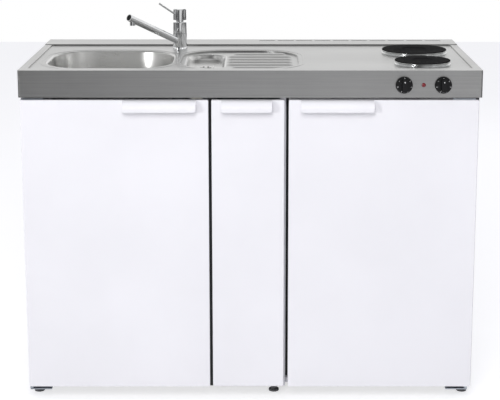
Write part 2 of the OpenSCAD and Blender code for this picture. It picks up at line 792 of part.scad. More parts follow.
// Upright sheet with its folded edges; side is the way its flanges turn
module upright(x, side, z0, z1, front, top) {
    lo = side > 0 ? x : x - sheet_t;
    block([lo, body_front, z0], [lo + sheet_t, body_back - sheet_t, z1]);
    wide = [min(x, x + side * panel_fold), max(x, x + side * panel_fold)];
    if (front) block([wide[0], body_front, z0], [wide[1], body_front + sheet_t, z1]);
    if (top) block([wide[0], body_front, z1 - sheet_t], [wide[1], body_back - sheet_t, z1]);
}

module left_side_panel() {
    color("whitesmoke") in_frame() difference() {
        upright(body_l, 1, foot_h, panel_top, true, true);
        block([body_l + sheet_t, body_front - 1, pivot_plate_z - seat],
              [body_l + panel_fold + 1, body_front + sheet_t + 1, rail_z + seat]);
    }
}

module right_side_panel() {
    color("whitesmoke") in_frame() upright(body_r, -1, foot_h, panel_top, false, true);
}

module left_divider() {
    color("gray") in_frame() {
        block([divider_l - sheet_t / 2, body_front, floor_z],
              [divider_l + sheet_t / 2, body_back - sheet_t, rail_z]);
        block([divider_l - flange_w / 2, body_front, foot_h],
              [divider_l + flange_w / 2, body_front + sheet_t, rail_z]);
    }
}

module right_divider() {
    color("gray") in_frame() {
        block([divider_r - sheet_t, body_front, foot_h], [divider_r, body_back - sheet_t, rail_z]);
        block([divider_r - flange_w, body_front, foot_h], [divider_r, body_front + sheet_t, rail_z]);
    }
}

// Shallow tray, open below, with its edges folded down
module folded_floor(x0, x1, y0, y1) {
    difference() {
        block([x0, y0, foot_h], [x1, y1, floor_z]);
        block([x0 + sheet_t, y0 + sheet_t, foot_h - 1], [x1 - sheet_t, y1 - sheet_t, floor_z - sheet_t]);
    }
}

base_d = 80;
base_y0 = body_front + sheet_t;
base_y1 = body_back - sheet_t;

module floor_tray() {
    color("whitesmoke") in_frame()
        folded_floor(body_l + sheet_t, divider_r - sheet_t, base_y0, base_y1);
}

module fridge_base() {
    color("whitesmoke") in_frame() for (y = [door_back + 3.5, base_y1 - base_d])
        folded_floor(divider_r, body_r - sheet_t, y, y + base_d);
}

// Back sheet with the service hole behind the trap and the vent hole behind the refrigerator
module back_panel() {
    service_w = 130;
    color("whitesmoke") in_frame() difference() {
        block([body_l, base_y1, foot_h], [body_r, body_back, rail_z]);
        block([trap_x - service_w / 2 - 15, base_y1 - 1, outlet_z - 90],
              [trap_x + service_w / 2 - 15, body_back + 1, outlet_z + 70]);
        block([fridge_l + 30, base_y1 - 1, fridge_z0 + 20], [fridge_r - 30, body_back + 1, fridge_z1 - 40]);
    }
}

// Channel along the front, open to the back
module front_rail() {
    x0 = body_l + sheet_t;
    x1 = body_r - sheet_t;
    color("whitesmoke") in_frame() difference() {
        block([x0, base_y0, rail_z], [x1, base_y0 + rail_d, rail_z + rail_h]);
        block([x0 - 1, base_y0 + sheet_t, rail_z + sheet_t],
              [x1 + 1, base_y0 + rail_d + 1, rail_z + rail_h - sheet_t]);
    }
}

// Channel along the wall with the two holes for its fixings
wall_hole_r = 4;
wall_hole_pitch = unit_w - 100;
wall_hole_z = rail_z + rail_h / 2;

module rear_rail() {
    x0 = body_l + sheet_t;
    x1 = body_r - sheet_t;
    y1 = body_back - sheet_t;
    color("whitesmoke") in_frame() difference() {
        block([x0, y1 - rail_d, rail_z], [x1, y1, rail_z + rail_h]);
        block([x0 - 1, y1 - rail_d - 1, rail_z + sheet_t], [x1 + 1, y1 - sheet_t, rail_z + rail_h - sheet_t]);
        for (side = [-1, 1]) rod_y(side * wall_hole_pitch / 2, wall_hole_z, y1 - 5, y1 + 5, wall_hole_r);
    }
}

// Foot: pad, column and dark lock ring, up to the underside of the floor
module levelling_feet() {
    ring_z = 14;
    in_x = 16;
    color("dimgray") in_frame()
        for (x = [body_l + in_x, divider_r - 30, body_r - in_x - 1], y = [body_front + 50, body_back - 40])
            translate([x, y, 0]) {
                cylinder(h = 6, r1 = 14, r2 = 14);
                cylinder(h = floor_z - sheet_t, r = 8);
                translate([0, 0, ring_z]) cylinder(h = 6, r = 13);
            }
}

// Pivot plates over and under a door, each with its pin
module pivots(x, inward) {
    pin_r = pivot_d / 2;
    in_door = 12;
    edge = 4;
    plate_x = [min(x - inward * edge, x + inward * 54), max(x - inward * edge, x + inward * 54)];
    block([plate_x[0], pivot_y - 7, pivot_plate_z],
          [plate_x[1], base_y0 + rail_d, pivot_plate_z + pivot_plate_t]);
    translate([x, pivot_y, front_top - in_door])
        cylinder(h = pivot_plate_z - front_top + in_door + eps, r = pin_r);
    block([plate_x[0], pivot_y - 7, foot_h - pivot_plate_t], [plate_x[1], base_y0 + 30, foot_h]);
    translate([x, pivot_y, foot_h - eps]) cylinder(h = bottom_gap + in_door - foot_h, r = pin_r);
    translate([x, pivot_y, foot_h - eps]) cylinder(h = bottom_gap - seat - foot_h, r = pin_r + 2.5);
}

module left_door_pivots() {
    color("slategray") in_frame() pivots(left_pivot_x, 1);
}

module fridge_door_pivots() {
    color("slategray") in_frame() pivots(fridge_pivot_x, -1);
}

module door_magnet() {
    x = divider_l - 34;
    color("ivory") in_frame() {
        block([x - 15, base_y0, rail_z - 16], [x + 15, base_y0 + 18, rail_z]);
        block([x - 12, front_back + seat, rail_z - 13], [x + 12, base_y0, rail_z - 4]);
    }
}

// ---- Refrigerator ----

// Side outline of the casing, drawn in by d: an upright box with the compressor's step at its rear foot
function fridge_outline(d, y0) = [
    [y0, fridge_z0 + d], [fridge_y1 - step_d - d, fridge_z0 + d],
    [fridge_y1 - step_d - d, fridge_z0 + step_h + d], [fridge_y1 - d, fridge_z0 + step_h + d],
    [fridge_y1 - d, fridge_z1 - d], [y0, fridge_z1 - d]
];

module fridge_body(d, y0) {
    translate([fridge_l + d, 0, 0]) rotate([90, 0, 90])
        linear_extrude(fridge_r - fridge_l - 2 * d) polygon(fridge_outline(d, y0));
}

fridge_foot_y = [fridge_y0 + 28, fridge_y1 - 20];

module fridge_casing() {
    color("white") in_frame() {
        difference() {
            fridge_body(0, fridge_y0);
            fridge_body(skin_t, fridge_y0 - 1);
        }
        for (x = [fridge_l + 30, fridge_r - 30]) {
            translate([x, fridge_foot_y[0], floor_z]) cylinder(h = fridge_z0 - floor_z + eps, r = 12);
            translate([x, fridge_foot_y[1], floor_z]) cylinder(h = compressor_z - floor_z + eps, r = 12);
        }
        block([fridge_l, fridge_y1 - step_d - 2, compressor_z - 2], [fridge_r, fridge_y1, compressor_z]);
        for (x = [fridge_l, fridge_r - skin_t])
            block([x, fridge_y1 - step_d - 2, compressor_z - 2],
                  [x + skin_t, fridge_y1, fridge_z0 + step_h + eps]);
    }
}

compressor_z = fridge_z0 + 4;
shelf_y0 = fridge_y0 + rack_d + 8;
shelf_z_low = fridge_z0 + step_h + fridge_wall + 6;
shelf_pitch = (freezer_z0 - shelf_z_low) / shelf_count;

function shelf_z(i) = shelf_z_low + i * shelf_pitch;

module fridge_liner() {
    rest_w = 8;
    color("white") in_frame() {
        difference() {
            union() {
                fridge_body(fridge_wall - liner_t, fridge_y0);
                block([fridge_l + skin_t, fridge_y0, fridge_z0 + skin_t],
                      [fridge_r - skin_t, fridge_y0 + liner_t, fridge_z1 - skin_t]);
            }
            fridge_body(fridge_wall, fridge_y0 - 1);
        }
        for (i = [0:shelf_count - 1], x = [cavity_l - eps, cavity_r - rest_w])
            block([x, shelf_y0 + 10, shelf_z(i) - 5], [x + rest_w + eps, cavity_y1 - 20, shelf_z(i)]);
    }
}

module glass_shelves() {
    glass_t = 4;
    trim_h = 9;
    color([0.8, 0.9, 0.9, 0.5]) in_frame() for (i = [0:shelf_count - 1]) {
        block([cavity_l + loose, shelf_y0 + 6, shelf_z(i)],
              [cavity_r - loose, cavity_y1 - 4, shelf_z(i) + glass_t]);
        block([cavity_l + loose, shelf_y0, shelf_z(i) - 2],
              [cavity_r - loose, shelf_y0 + 6, shelf_z(i) - 2 + trim_h]);
    }
}

freezer_x = [cavity_l + 10, cavity_r - 64];
freezer_t = 1.5;
flap_t = 8;
flap_pin_r = 2.5;
flap_axis = [freezer_y0 - flap_t / 2 - 1, freezer_z0 + 5];

// Evaporator box: sheet box open at the front, hung from the liner's roof, with ears for the flap
module freezer_box() {
    z1 = freezer_z0 + freezer_h;
    color("gainsboro") in_frame() {
        difference() {
            block([freezer_x[0], freezer_y0, freezer_z0], [freezer_x[1], cavity_y1 - 8, z1]);
            block([freezer_x[0] + freezer_t, freezer_y0 - 1, freezer_z0 + freezer_t],
                  [freezer_x[1] - freezer_t, cavity_y1 - 8 - freezer_t, z1 - freezer_t]);
        }
        for (x = [freezer_x[0] + 20, freezer_x[1] - 40], y = [freezer_y0 + 30, cavity_y1 - 60])
            block([x, y, z1 - eps], [x + 20, y + 20, cavity_z1]);
        for (x = [freezer_x[0], freezer_x[1] - 2.5]) difference() {
            block([x, flap_axis[0] - 4, freezer_z0], [x + 2.5, freezer_y0 + eps, freezer_z0 + 12]);
            translate([x - 1, flap_axis[0], flap_axis[1]]) rotate([0, 90, 0])
                cylinder(h = 5, r = flap_pin_r + run_fit);
        }
    }
}

module freezer_flap() {
    flap_l = freezer_x[0] + 3;
    flap_r = freezer_x[1] - 3;
    z1 = freezer_z0 + freezer_h - 3;
    color([0.85, 0.92, 0.95]) in_frame() {
        difference() {
            union() {
                block([flap_l, flap_axis[0] - flap_t / 2, flap_axis[1]],
                      [flap_r, flap_axis[0] + flap_t / 2, z1]);
                translate([flap_l, flap_axis[0], flap_axis[1]]) rotate([0, 90, 0])
                    cylinder(h = flap_r - flap_l, r = flap_t / 2);
            }
            block([flap_l + 12, flap_axis[0] + 1, flap_axis[1] + 14],
                  [flap_r - 12, flap_axis[0] + flap_t, z1 - 10]);
        }
        translate([freezer_x[0], flap_axis[0], flap_axis[1]]) rotate([0, 90, 0])
            cylinder(h = freezer_x[1] - freezer_x[0], r = flap_pin_r);
        block([(flap_l + flap_r) / 2 - 35, flap_axis[0] - flap_t / 2 - 7, z1 - 12],
              [(flap_l + flap_r) / 2 + 35, flap_axis[0] - flap_t / 2 + eps, z1 - 8]);
    }
}

thermo_x = [cavity_r - 46, cavity_r];
thermo_z = [cavity_z1 - 84, cavity_z1 - 12];
thermo_y0 = freezer_y0 + 10;
dial_c = [(thermo_x[0] + thermo_x[1]) / 2, thermo_z[0] + 26];

// Housing of the thermostat and the lamp on the liner's right wall
module thermostat_housing() {
    lens_h = 24;
    color("whitesmoke") in_frame() difference() {
        block([thermo_x[0], thermo_y0, thermo_z[0]], [thermo_x[1], thermo_y0 + 120, thermo_z[1]]);
        rod_y(dial_c[0], dial_c[1], thermo_y0 - 1, thermo_y0 + 10, 3 + run_fit);
        block([thermo_x[0] + 6, thermo_y0 - 1, thermo_z[1] - lens_h],
              [thermo_x[1] - 8, thermo_y0 + 1.5, thermo_z[1] - 6]);
    }
}

module thermostat_dial() {
    color("silver") in_frame() {
        rod_y(dial_c[0], dial_c[1], thermo_y0 - 1, thermo_y0 + 9, 3);
        difference() {
            rod_y(dial_c[0], dial_c[1], thermo_y0 - 12, thermo_y0 - 0.8, 16);
            for (turn = [0:30:330]) translate([dial_c[0], thermo_y0 - 13, dial_c[1]]) rotate([0, turn, 0])
                translate([17, 0, 0]) rotate([-90, 0, 0]) cylinder(h = 9, r = 3);
        }
    }
}

compressor_r = 52;

module compressor() {
    x = fridge_r - 120;
    y = fridge_y1 - compressor_r - 10;
    foot_z = compressor_z + 9;
    color([0.1, 0.1, 0.1]) in_frame() {
        translate([x, y, foot_z + 30]) cylinder(h = 34, r = compressor_r);
        translate([x, y, foot_z + 64]) intersection() {
            sphere(compressor_r);
            cylinder(h = 44, r = compressor_r);
        }
        translate([x, y, foot_z]) cylinder(h = 30, r1 = compressor_r - 16, r2 = compressor_r);
        block([x - 80, y - 40, foot_z - 2], [x + 80, y + 40, foot_z + eps]);
        for (side = [-1, 1], end = [-1, 1]) translate([x + side * 68, y + end * 30, compressor_z])
            cylinder(h = 8, r = 8);
    }
}

// Condenser: one tube in horizontal runs joined by bends, between upright strips
module condenser() {
    tube_r = 2.4;
    runs = 12;
    z_low = fridge_z0 + step_h + 24;
    pitch = (fridge_z1 - 40 - z_low) / (runs - 1);
    x0 = fridge_l + 55;
    x1 = fridge_r - 55;
    y = fridge_y1 + 14;
    color([0.1, 0.1, 0.1]) in_frame() {
        for (i = [0:runs - 1])
            translate([x0, y, z_low + i * pitch]) rotate([0, 90, 0]) cylinder(h = x1 - x0, r = tube_r);
        for (i = [0:runs - 2])
            translate([i % 2 == 0 ? x1 : x0, y, z_low + (i + 0.5) * pitch]) rotate([90, 0, 0])
                rotate([0, 0, i % 2 == 0 ? -90 : 90]) rotate_extrude(angle = 180)
                    translate([pitch / 2, 0]) circle(tube_r);
        for (i = [0:6]) {
            x = x0 + (i + 0.5) * (x1 - x0) / 7;
            block([x - 4, y - tube_r - 1, z_low - 16], [x + 4, y - 0.8, z_low + (runs - 1) * pitch + 16]);
        }
        for (x = [x0 + 1.5 * (x1 - x0) / 7, x0 + 5.5 * (x1 - x0) / 7],
             z = [z_low + pitch / 2, fridge_z1 - 30])
            block([x - 8, fridge_y1, z - 6], [x + 8, y - tube_r - 0.2, z + 6]);
    }
}

// ---- Refrigerator door ----

door_skin = 1;
door_back = front_setback + fridge_door_t;

// Bush for a pivot pin in the upper and lower edge of a door
module pivot_bushes(x) {
    bush_r = pivot_d / 2 + 3;
    for (z = [bottom_gap, front_top - 16])
        translate([x, pivot_y, z]) cylinder(h = 16, r = bush_r);
}

module pivot_bores(x) {
    for (z = [bottom_gap - 1, front_top - 14])
        translate([x, pivot_y, z]) cylinder(h = 15, r = pivot_d / 2 + run_fit);
}

// Hollow front of folded sheet
module hollow_front(span, y1) {
    difference() {
        front_slab([span[0], front_setback, bottom_gap], [span[1], y1, front_top], front_r);
        block([span[0] + door_skin, front_setback + door_skin, bottom_gap + door_skin],
              [span[1] - door_skin, y1 - door_skin, front_top - door_skin]);
    }
}

module fridge_door() {
    color("white") in_frame() difference() {
        union() {
            difference() {
                front_slab([fridge_front[0], front_setback, bottom_gap],
                           [fridge_front[1], door_back, front_top], front_r);
                block([fridge_front[0] + door_skin, front_setback + door_skin, bottom_gap + door_skin],
                      [fridge_front[1] - door_skin, door_back + 1, front_top - door_skin]);
            }
            pivot_bushes(fridge_pivot_x);
        }
        pivot_bores(fridge_pivot_x);
    }
}

rack_x = [cavity_l + 24, cavity_r - 14];
rack_z = [for (share = [0, 0.38, 0.71]) cavity_z0 + 24 + share * (freezer_z0 - cavity_z0)];
rack_h = [90, 60, 60];

// Inner panel of the door with the studs that carry the racks
module fridge_door_liner() {
    color("white") in_frame() {
        block([fridge_front[0] + door_skin, door_back - 2.5, bottom_gap + door_skin],
              [fridge_front[1] - door_skin, door_back, front_top - door_skin]);
        for (z = rack_z, x = [rack_x[0] - 7, rack_x[1]])
            block([x, door_back - eps, z + 8], [x + 7, door_back + 40, z + 38]);
    }
}

module door_gasket() {
    in_x = 8;
    w = 15;
    lo = [fridge_front[0] + in_x, fridge_z0 + 2];
    hi = [fridge_front[1] - in_x, fridge_z1 - 2];
    color("lightgray") in_frame() difference() {
        front_slab([lo[0], door_back, lo[1]], [hi[0], fridge_y0 - seat, hi[1]], 4);
        front_slab([lo[0] + w, door_back - 1, lo[1] + w], [hi[0] - w, fridge_y0, hi[1] - w], 4);
    }
}

// Rack: floor, low front wall and a rail; it clips on the studs of the liner
module door_rack(z, h) {
    wall = 2;
    y0 = door_back + 1;
    y1 = fridge_y0 + rack_d;
    difference() {
        block([rack_x[0], y0, z], [rack_x[1], y1, z + h]);
        block([rack_x[0] + wall, y0 + wall, z + wall], [rack_x[1] - wall, y1 - wall, z + h + 1]);
        block([rack_x[0] + 26, y1 - wall - 1, z + h * 0.62], [rack_x[1] - 26, y1 + 1, z + h * 0.86]);
    }
}

module door_racks() {
    color([0.9, 0.95, 0.97]) in_frame() {
        for (i = [0:2]) door_rack(rack_z[i], rack_h[i]);
    }
}

// ---- Left door, narrow front and their grips ----

module left_door() {
    color("white") in_frame() difference() {
        union() {
            hollow_front(left_front, front_back);
            pivot_bushes(left_pivot_x);
        }
        pivot_bores(left_pivot_x);
    }
}

module pullout_front() {
    color("white") in_frame() hollow_front(narrow_front, front_back);
}

// Grip bent from sheet: a quarter round from the door's top edge, then straight down
module grip(x, w) {
    r = grip_out;
    corner = 6;
    y1 = front_setback;
    intersection() {
        translate([x - w / 2 - 1, 0, 0]) rotate([90, 0, 90]) linear_extrude(w + 2) {
            translate([y1, front_top - r]) intersection() {
                difference() { circle(r, $fn = 96); circle(r - grip_t, $fn = 96); }
                translate([-r - 1, 0]) square([r + 1, r + 1]);
            }
            translate([y1 - r, front_top - grip_h]) square([grip_t, grip_h - r]);
        }
        front_slab([x - w / 2, y1 - r - 1, front_top - grip_h], [x + w / 2, y1 + 1, front_top + 30], corner);
    }
}

left_grip_x = (left_front[0] + left_front[1]) / 2 + 117;
narrow_grip_x = (narrow_front[0] + narrow_front[1]) / 2 - 3.5;
fridge_grip_x = (fridge_front[0] + fridge_front[1]) / 2 - 120;

module left_door_grip() {
    color("white") in_frame() grip(left_grip_x, grip_w);
}

module pullout_grip() {
    color("white") in_frame() grip(narrow_grip_x, narrow_grip_w);
}

module fridge_door_grip() {
    color("white") in_frame() grip(fridge_grip_x, grip_w);
}

// ---- Pull-out ----

frame_l = frame_x - frame_w / 2;
frame_r = frame_x + frame_w / 2;
runner_wall = 1.5;
runner_step = runner_wall + seat;

// One member of the runner: a channel open towards the frame, drawn in by its place from outside
module runner_member_pair(level, y0) {
    depth = 3 * runner_step + 6;
    for (side = [-1, 1]) {
        face = frame_x + side * (frame_w / 2 + seat + depth);
        back = face - side * level * runner_step;
        open_x = frame_x + side * (frame_w / 2 + seat);
        x = [min(back, open_x), max(back, open_x)];
        z = [floor_z + level * runner_step, floor_z + runner_h - level * runner_step];
        inner_x = back - side * runner_wall;
        cut = [min(inner_x, open_x - side), max(inner_x, open_x - side)];
        difference() {
            block([x[0], y0, z[0]], [x[1], y0 + runner_l, z[1]]);
            block([cut[0], y0 - 1, z[0] + runner_wall], [cut[1], y0 + runner_l + 1, z[1] - runner_wall]);
        }
    }
}

module outer_runner() {
    color("silver") in_frame() runner_member_pair(0, runner_y);
}

module middle_runner() {
    color("silver") in_frame() runner_member_pair(1, runner_y);
}

module inner_runner() {
    color("silver") in_frame() runner_member_pair(2, runner_y);
}

rod_r = 4;
post_in = 14;
basket_t = 1.2;
basket_r = 12;
basket_tray_h = 34;
hook_rod_r = 3;
hook_z = 6;
basket_l = frame_y1 - frame_y0 - 48;

// Frame: side plates on the runners, a bridge, four posts with rails, and tabs on the front
module pullout_frame() {
    plate_t = 2;
    bridge_z = floor_z + runner_h + 8;
    post_top = front_top - 120;
    post_y = [frame_y0 + post_in, frame_y1 - post_in];
    color("silver") in_frame() {
        for (side = [-1, 1]) {
            x = side < 0 ? frame_l : frame_r - plate_t;
            block([x, runner_y, floor_z + 3], [x + plate_t, frame_y1, bridge_z + plate_t]);
            inner = side < 0 ? frame_l - seat - eps : frame_r - eps;
            block([inner, runner_y, floor_z + 2 * runner_step + runner_wall + 2],
                  [inner + seat + 2 * eps, runner_y + 40, floor_z + runner_h - 2 * runner_step - runner_wall - 2]);
        }
        block([frame_l, front_back, bridge_z], [frame_r, frame_y1, bridge_z + plate_t]);
        for (x = [frame_l + rod_r + 2, frame_r - rod_r - 2], y = post_y)
            translate([x, y, bridge_z]) cylinder(h = post_top - bridge_z, r = rod_r);
        for (x = [frame_l + rod_r + 2, frame_r - rod_r - 2])
            rod_y(x, post_top - rod_r, post_y[0], post_y[1], rod_r - 0.5);
        for (y = post_y) {
            translate([frame_l + rod_r + 2, y, post_top - rod_r]) rotate([0, 90, 0])
                cylinder(h = frame_w - 2 * rod_r - 4, r = rod_r - 0.5);
            for (z = basket_z) translate([frame_l + rod_r + 2, y, z + hook_z]) rotate([0, 90, 0])
                cylinder(h = frame_w - 2 * rod_r - 4, r = hook_rod_r);
        }
        for (z = [bridge_z, post_top - 40])
            block([frame_x - 50, front_back, z], [frame_x + 50, front_back + plate_t, z + 36]);
        block([frame_l + 4, front_back, post_top - 30], [frame_r - 4, post_y[0], post_top - 28]);
    }
}

// Closed ring of wire in the plane z, with round corners
module wire_ring(lo, hi, z, corner, r) {
    for (y = [lo[1], hi[1]]) translate([lo[0] + corner, y, z]) rotate([0, 90, 0])
        cylinder(h = hi[0] - lo[0] - 2 * corner, r = r);
    for (x = [lo[0], hi[0]]) rod_y(x, z, lo[1] + corner, hi[1] - corner, r);
    for (i = [0:3]) translate([i == 0 || i == 3 ? hi[0] - corner : lo[0] + corner,
                               i < 2 ? hi[1] - corner : lo[1] + corner, z])
        rotate([0, 0, 90 * i]) rotate_extrude(angle = 90) translate([corner, 0]) circle(r);
}

// Basket: pressed tray with a wire rail round it, resting on hooks between the posts
module basket(z) {
    r = wire_d / 2;
    lo = [frame_l + 2 * rod_r + 3, frame_y0 + 24];
    hi = [frame_r - 2 * rod_r - 3, frame_y0 + 24 + basket_l];
    inset = r + 0.4;
    in_frame() {
        difference() {
            slab([lo[0], lo[1], z], [hi[0], hi[1], z + basket_tray_h], basket_r);
            slab([lo[0] + basket_t, lo[1] + basket_t, z + basket_t],
                 [hi[0] - basket_t, hi[1] - basket_t, z + basket_tray_h + 1], basket_r - basket_t);
        }
        wire_ring([lo[0] + inset, lo[1] + inset], [hi[0] - inset, hi[1] - inset], z + basket_h, basket_r, r);
        for (x = [lo[0] + inset, hi[0] - inset], y = [lo[1] + 20 : (hi[1] - lo[1] - 40) / 4 : hi[1] - 19])
            translate([x, y, z + basket_tray_h / 2]) cylinder(h = basket_h - basket_tray_h / 2, r = r - 0.6);
        hook_low = z + hook_z + hook_rod_r;
        block([lo[0] + 20, frame_y0 + post_in - 4, hook_low], [hi[0] - 20, lo[1] + basket_t, hook_low + 3]);
        block([lo[0] + 20, hi[1] - basket_t, hook_low], [hi[0] - 20, frame_y1 - post_in + 4, hook_low + 3]);
    }
}

module basket_top() { color("silver") basket(basket_z[2]); }

module basket_middle() { color("silver") basket(basket_z[1]); }

module basket_bottom() { color("silver") basket(basket_z[0]); }

worktop();
sink_bowl();
drainer_tray();
bowl_waste();
dish_waste();
waste_pipe();
bottle_trap();
tap_body();
tap_shank_nut();
rear_hotplate();
front_hotplate();
spill_rings();
hotplate_clamps();
hob_switches();
pilot_lamp();
terminal_box();
left_side_panel();
right_side_panel();
left_divider();
right_divider();
floor_tray();
fridge_base();
back_panel();
front_rail();
rear_rail();
levelling_feet();
left_door_pivots();
fridge_door_pivots();
door_magnet();
outer_runner();
fridge_casing();
fridge_liner();
glass_shelves();
freezer_box();
thermostat_housing();
compressor();
condenser();
pullout_front();
pullout_grip();
pullout_frame();
basket_top();
basket_middle();
basket_bottom();
inner_runner();
middle_runner();
left_door();
left_door_grip();
fridge_door();
fridge_door_liner();
door_gasket();
fridge_door_grip();
door_racks();
freezer_flap();
thermostat_dial();
spout();
lever_stem();
lever_cap();
left_knob();
right_knob();
bowl_plug();
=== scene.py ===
"""Looks of a metal kitchenette unit: steel worktop with sink and hob, cupboard, pull-out, refrigerator.

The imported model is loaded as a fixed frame. Each sub-assembly below dresses its own nodes: a node whose
shape is right gets a finish, and a node that needs softer edges or finer forms is replaced by a piece
modelled round it. All sizes are in metres, in the frame's own axes: X to the right, Y to the wall, Z up.
"""

from __future__ import annotations

import json
import logging
import math
from dataclasses import dataclass
from enum import Enum
from typing import Sequence

import bpy
from mathutils import Euler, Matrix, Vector


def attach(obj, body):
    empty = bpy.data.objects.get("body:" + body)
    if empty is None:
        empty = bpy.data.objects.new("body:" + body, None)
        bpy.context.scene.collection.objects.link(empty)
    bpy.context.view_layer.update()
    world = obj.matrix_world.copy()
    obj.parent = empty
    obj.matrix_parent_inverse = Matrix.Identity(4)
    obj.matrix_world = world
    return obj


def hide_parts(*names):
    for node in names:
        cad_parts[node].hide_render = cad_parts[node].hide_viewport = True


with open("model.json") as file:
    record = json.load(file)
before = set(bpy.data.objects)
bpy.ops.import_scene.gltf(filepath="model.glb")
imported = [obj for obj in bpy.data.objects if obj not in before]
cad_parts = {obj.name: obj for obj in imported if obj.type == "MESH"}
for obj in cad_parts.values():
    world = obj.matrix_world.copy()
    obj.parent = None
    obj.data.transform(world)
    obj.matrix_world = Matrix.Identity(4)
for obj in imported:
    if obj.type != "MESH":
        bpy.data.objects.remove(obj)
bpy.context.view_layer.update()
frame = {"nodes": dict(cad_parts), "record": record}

LOG = logging.getLogger("kitchenette")

Socketed = "Value | float | int | Sequence[float]"  # what an input socket takes: a link or a value
Point = tuple[float, float, float]
Flat = tuple[float, float]
Colour = tuple[float, float, float]
Rings = tuple[Flat, ...]

BLACK: Colour = (0.0, 0.0, 0.0)
WHITE: Colour = (1.0, 1.0, 1.0)


@dataclass(frozen=True)
class Step:
    """A smooth step: 0 up to `low`, `height` from `high` on."""

    low: float
    high: float
    height: float = 1.0


def scaled(tone: Colour, factor: float) -> Colour:
    """A colour made darker or lighter, up to white."""
    return tuple(min(1.0, channel * factor) for channel in tone)


# ----------------------------------------
# Shader maths
# ----------------------------------------


class Value:
    """One output socket of a recipe, with arithmetic that adds the Math nodes for it."""

    def __init__(self, recipe: "Sheet", socket: bpy.types.NodeSocket) -> None:
        """Wraps a socket.

        Args:
            recipe: The sheet whose tree holds the socket.
            socket: The output socket to wrap.
        """
        self.recipe = recipe
        self.socket = socket

    def _math(self, operation: str, *inputs: Socketed) -> "Value":
        """Adds one Math node."""
        return self.recipe.value("ShaderNodeMath", {"operation": operation}, dict(enumerate(inputs)))

    def __add__(self, other: Socketed) -> "Value":
        """self + other."""
        return self._math("ADD", self, other)

    __radd__ = __add__

    def __sub__(self, other: Socketed) -> "Value":
        """self - other."""
        return self._math("SUBTRACT", self, other)

    def __rsub__(self, other: Socketed) -> "Value":
        """other - self."""
        return self._math("SUBTRACT", other, self)

    def __mul__(self, other: Socketed) -> "Value":
        """self * other."""
        return self._math("MULTIPLY", self, other)

    __rmul__ = __mul__

    def __truediv__(self, other: Socketed) -> "Value":
        """self / other."""
        return self._math("DIVIDE", self, other)

    def __pow__(self, exponent: Socketed) -> "Value":
        """self ** exponent."""
        return self._math("POWER", self, exponent)

    def ramp(self, low: float, high: float) -> "Value":
        """0 below low, 1 above high and a smooth step between them."""
        return self.recipe.value(
            "ShaderNodeMapRange",
            {"interpolation_type": "SMOOTHSTEP"},
            {0: self, 1: low, 2: high, 3: 0.0, 4: 1.0},
        )

    def step(self, shape: Step) -> "Value":
        """The height of a smooth step at self."""
        return self.ramp(shape.low, shape.high) * shape.height

    def swing(self, width: float) -> "Value":
        """A pattern from 0 to 1, moved to swing round 0 over the given width."""
        return (self - 0.5) * width

    def sine(self) -> "Value":
        """The sine of self."""
        return self._math("SINE", self)

    def absolute(self) -> "Value":
        """The size of self without its sign."""
        return self._math("ABSOLUTE", self)


class Sheet:
    """A node tree that is filled by short calls."""

    def __init__(self, tree: bpy.types.NodeTree) -> None:
        """Empties a node tree.

        Args:
            tree: The tree to fill.
        """
        self.tree = tree
        self.tree.nodes.clear()

    def node(self, kind: str, settings: dict | None = None,
             sockets: dict | None = None) -> bpy.types.Node:
        """Adds a node.

        Args:
            kind: The node's type.
            settings: Properties, set before the sockets.
            sockets: Values or links of the input sockets, by name or index.

        Returns:
            The new node.
        """
        made = self.tree.nodes.new(kind)
        for key, value in (settings or {}).items():
            setattr(made, key, value)
        for key, value in (sockets or {}).items():
            self.fill(made.inputs[key], value)
        return made

    def value(self, kind: str, settings: dict | None = None, sockets: dict | None = None,
              out: str | int = 0) -> Value:
        """Adds a node and wraps one of its outputs."""
        return Value(self, self.node(kind, settings, sockets).outputs[out])

    def fill(self, socket: bpy.types.NodeSocket, value: Socketed) -> None:
        """Links or sets one input socket.

        Args:
            socket: The socket.
            value: An output to link, or the value to set; a colour may leave out its alpha.
        """
        if isinstance(value, Value):
            self.tree.links.new(value.socket, socket)
        elif isinstance(value, (tuple, list)) and socket.type == "RGBA" and len(value) == 3:
            socket.default_value = (*value, 1.0)
        else:
            socket.default_value = value

    def blend(self, factor: Socketed, first: Socketed, second: Socketed) -> Value:
        """A colour between two colours."""
        colour_a, colour_b, colour_out = 6, 7, 2
        return self.value("ShaderNodeMix", {"data_type": "RGBA"},
                          {"Factor": factor, colour_a: first, colour_b: second}, out=colour_out)


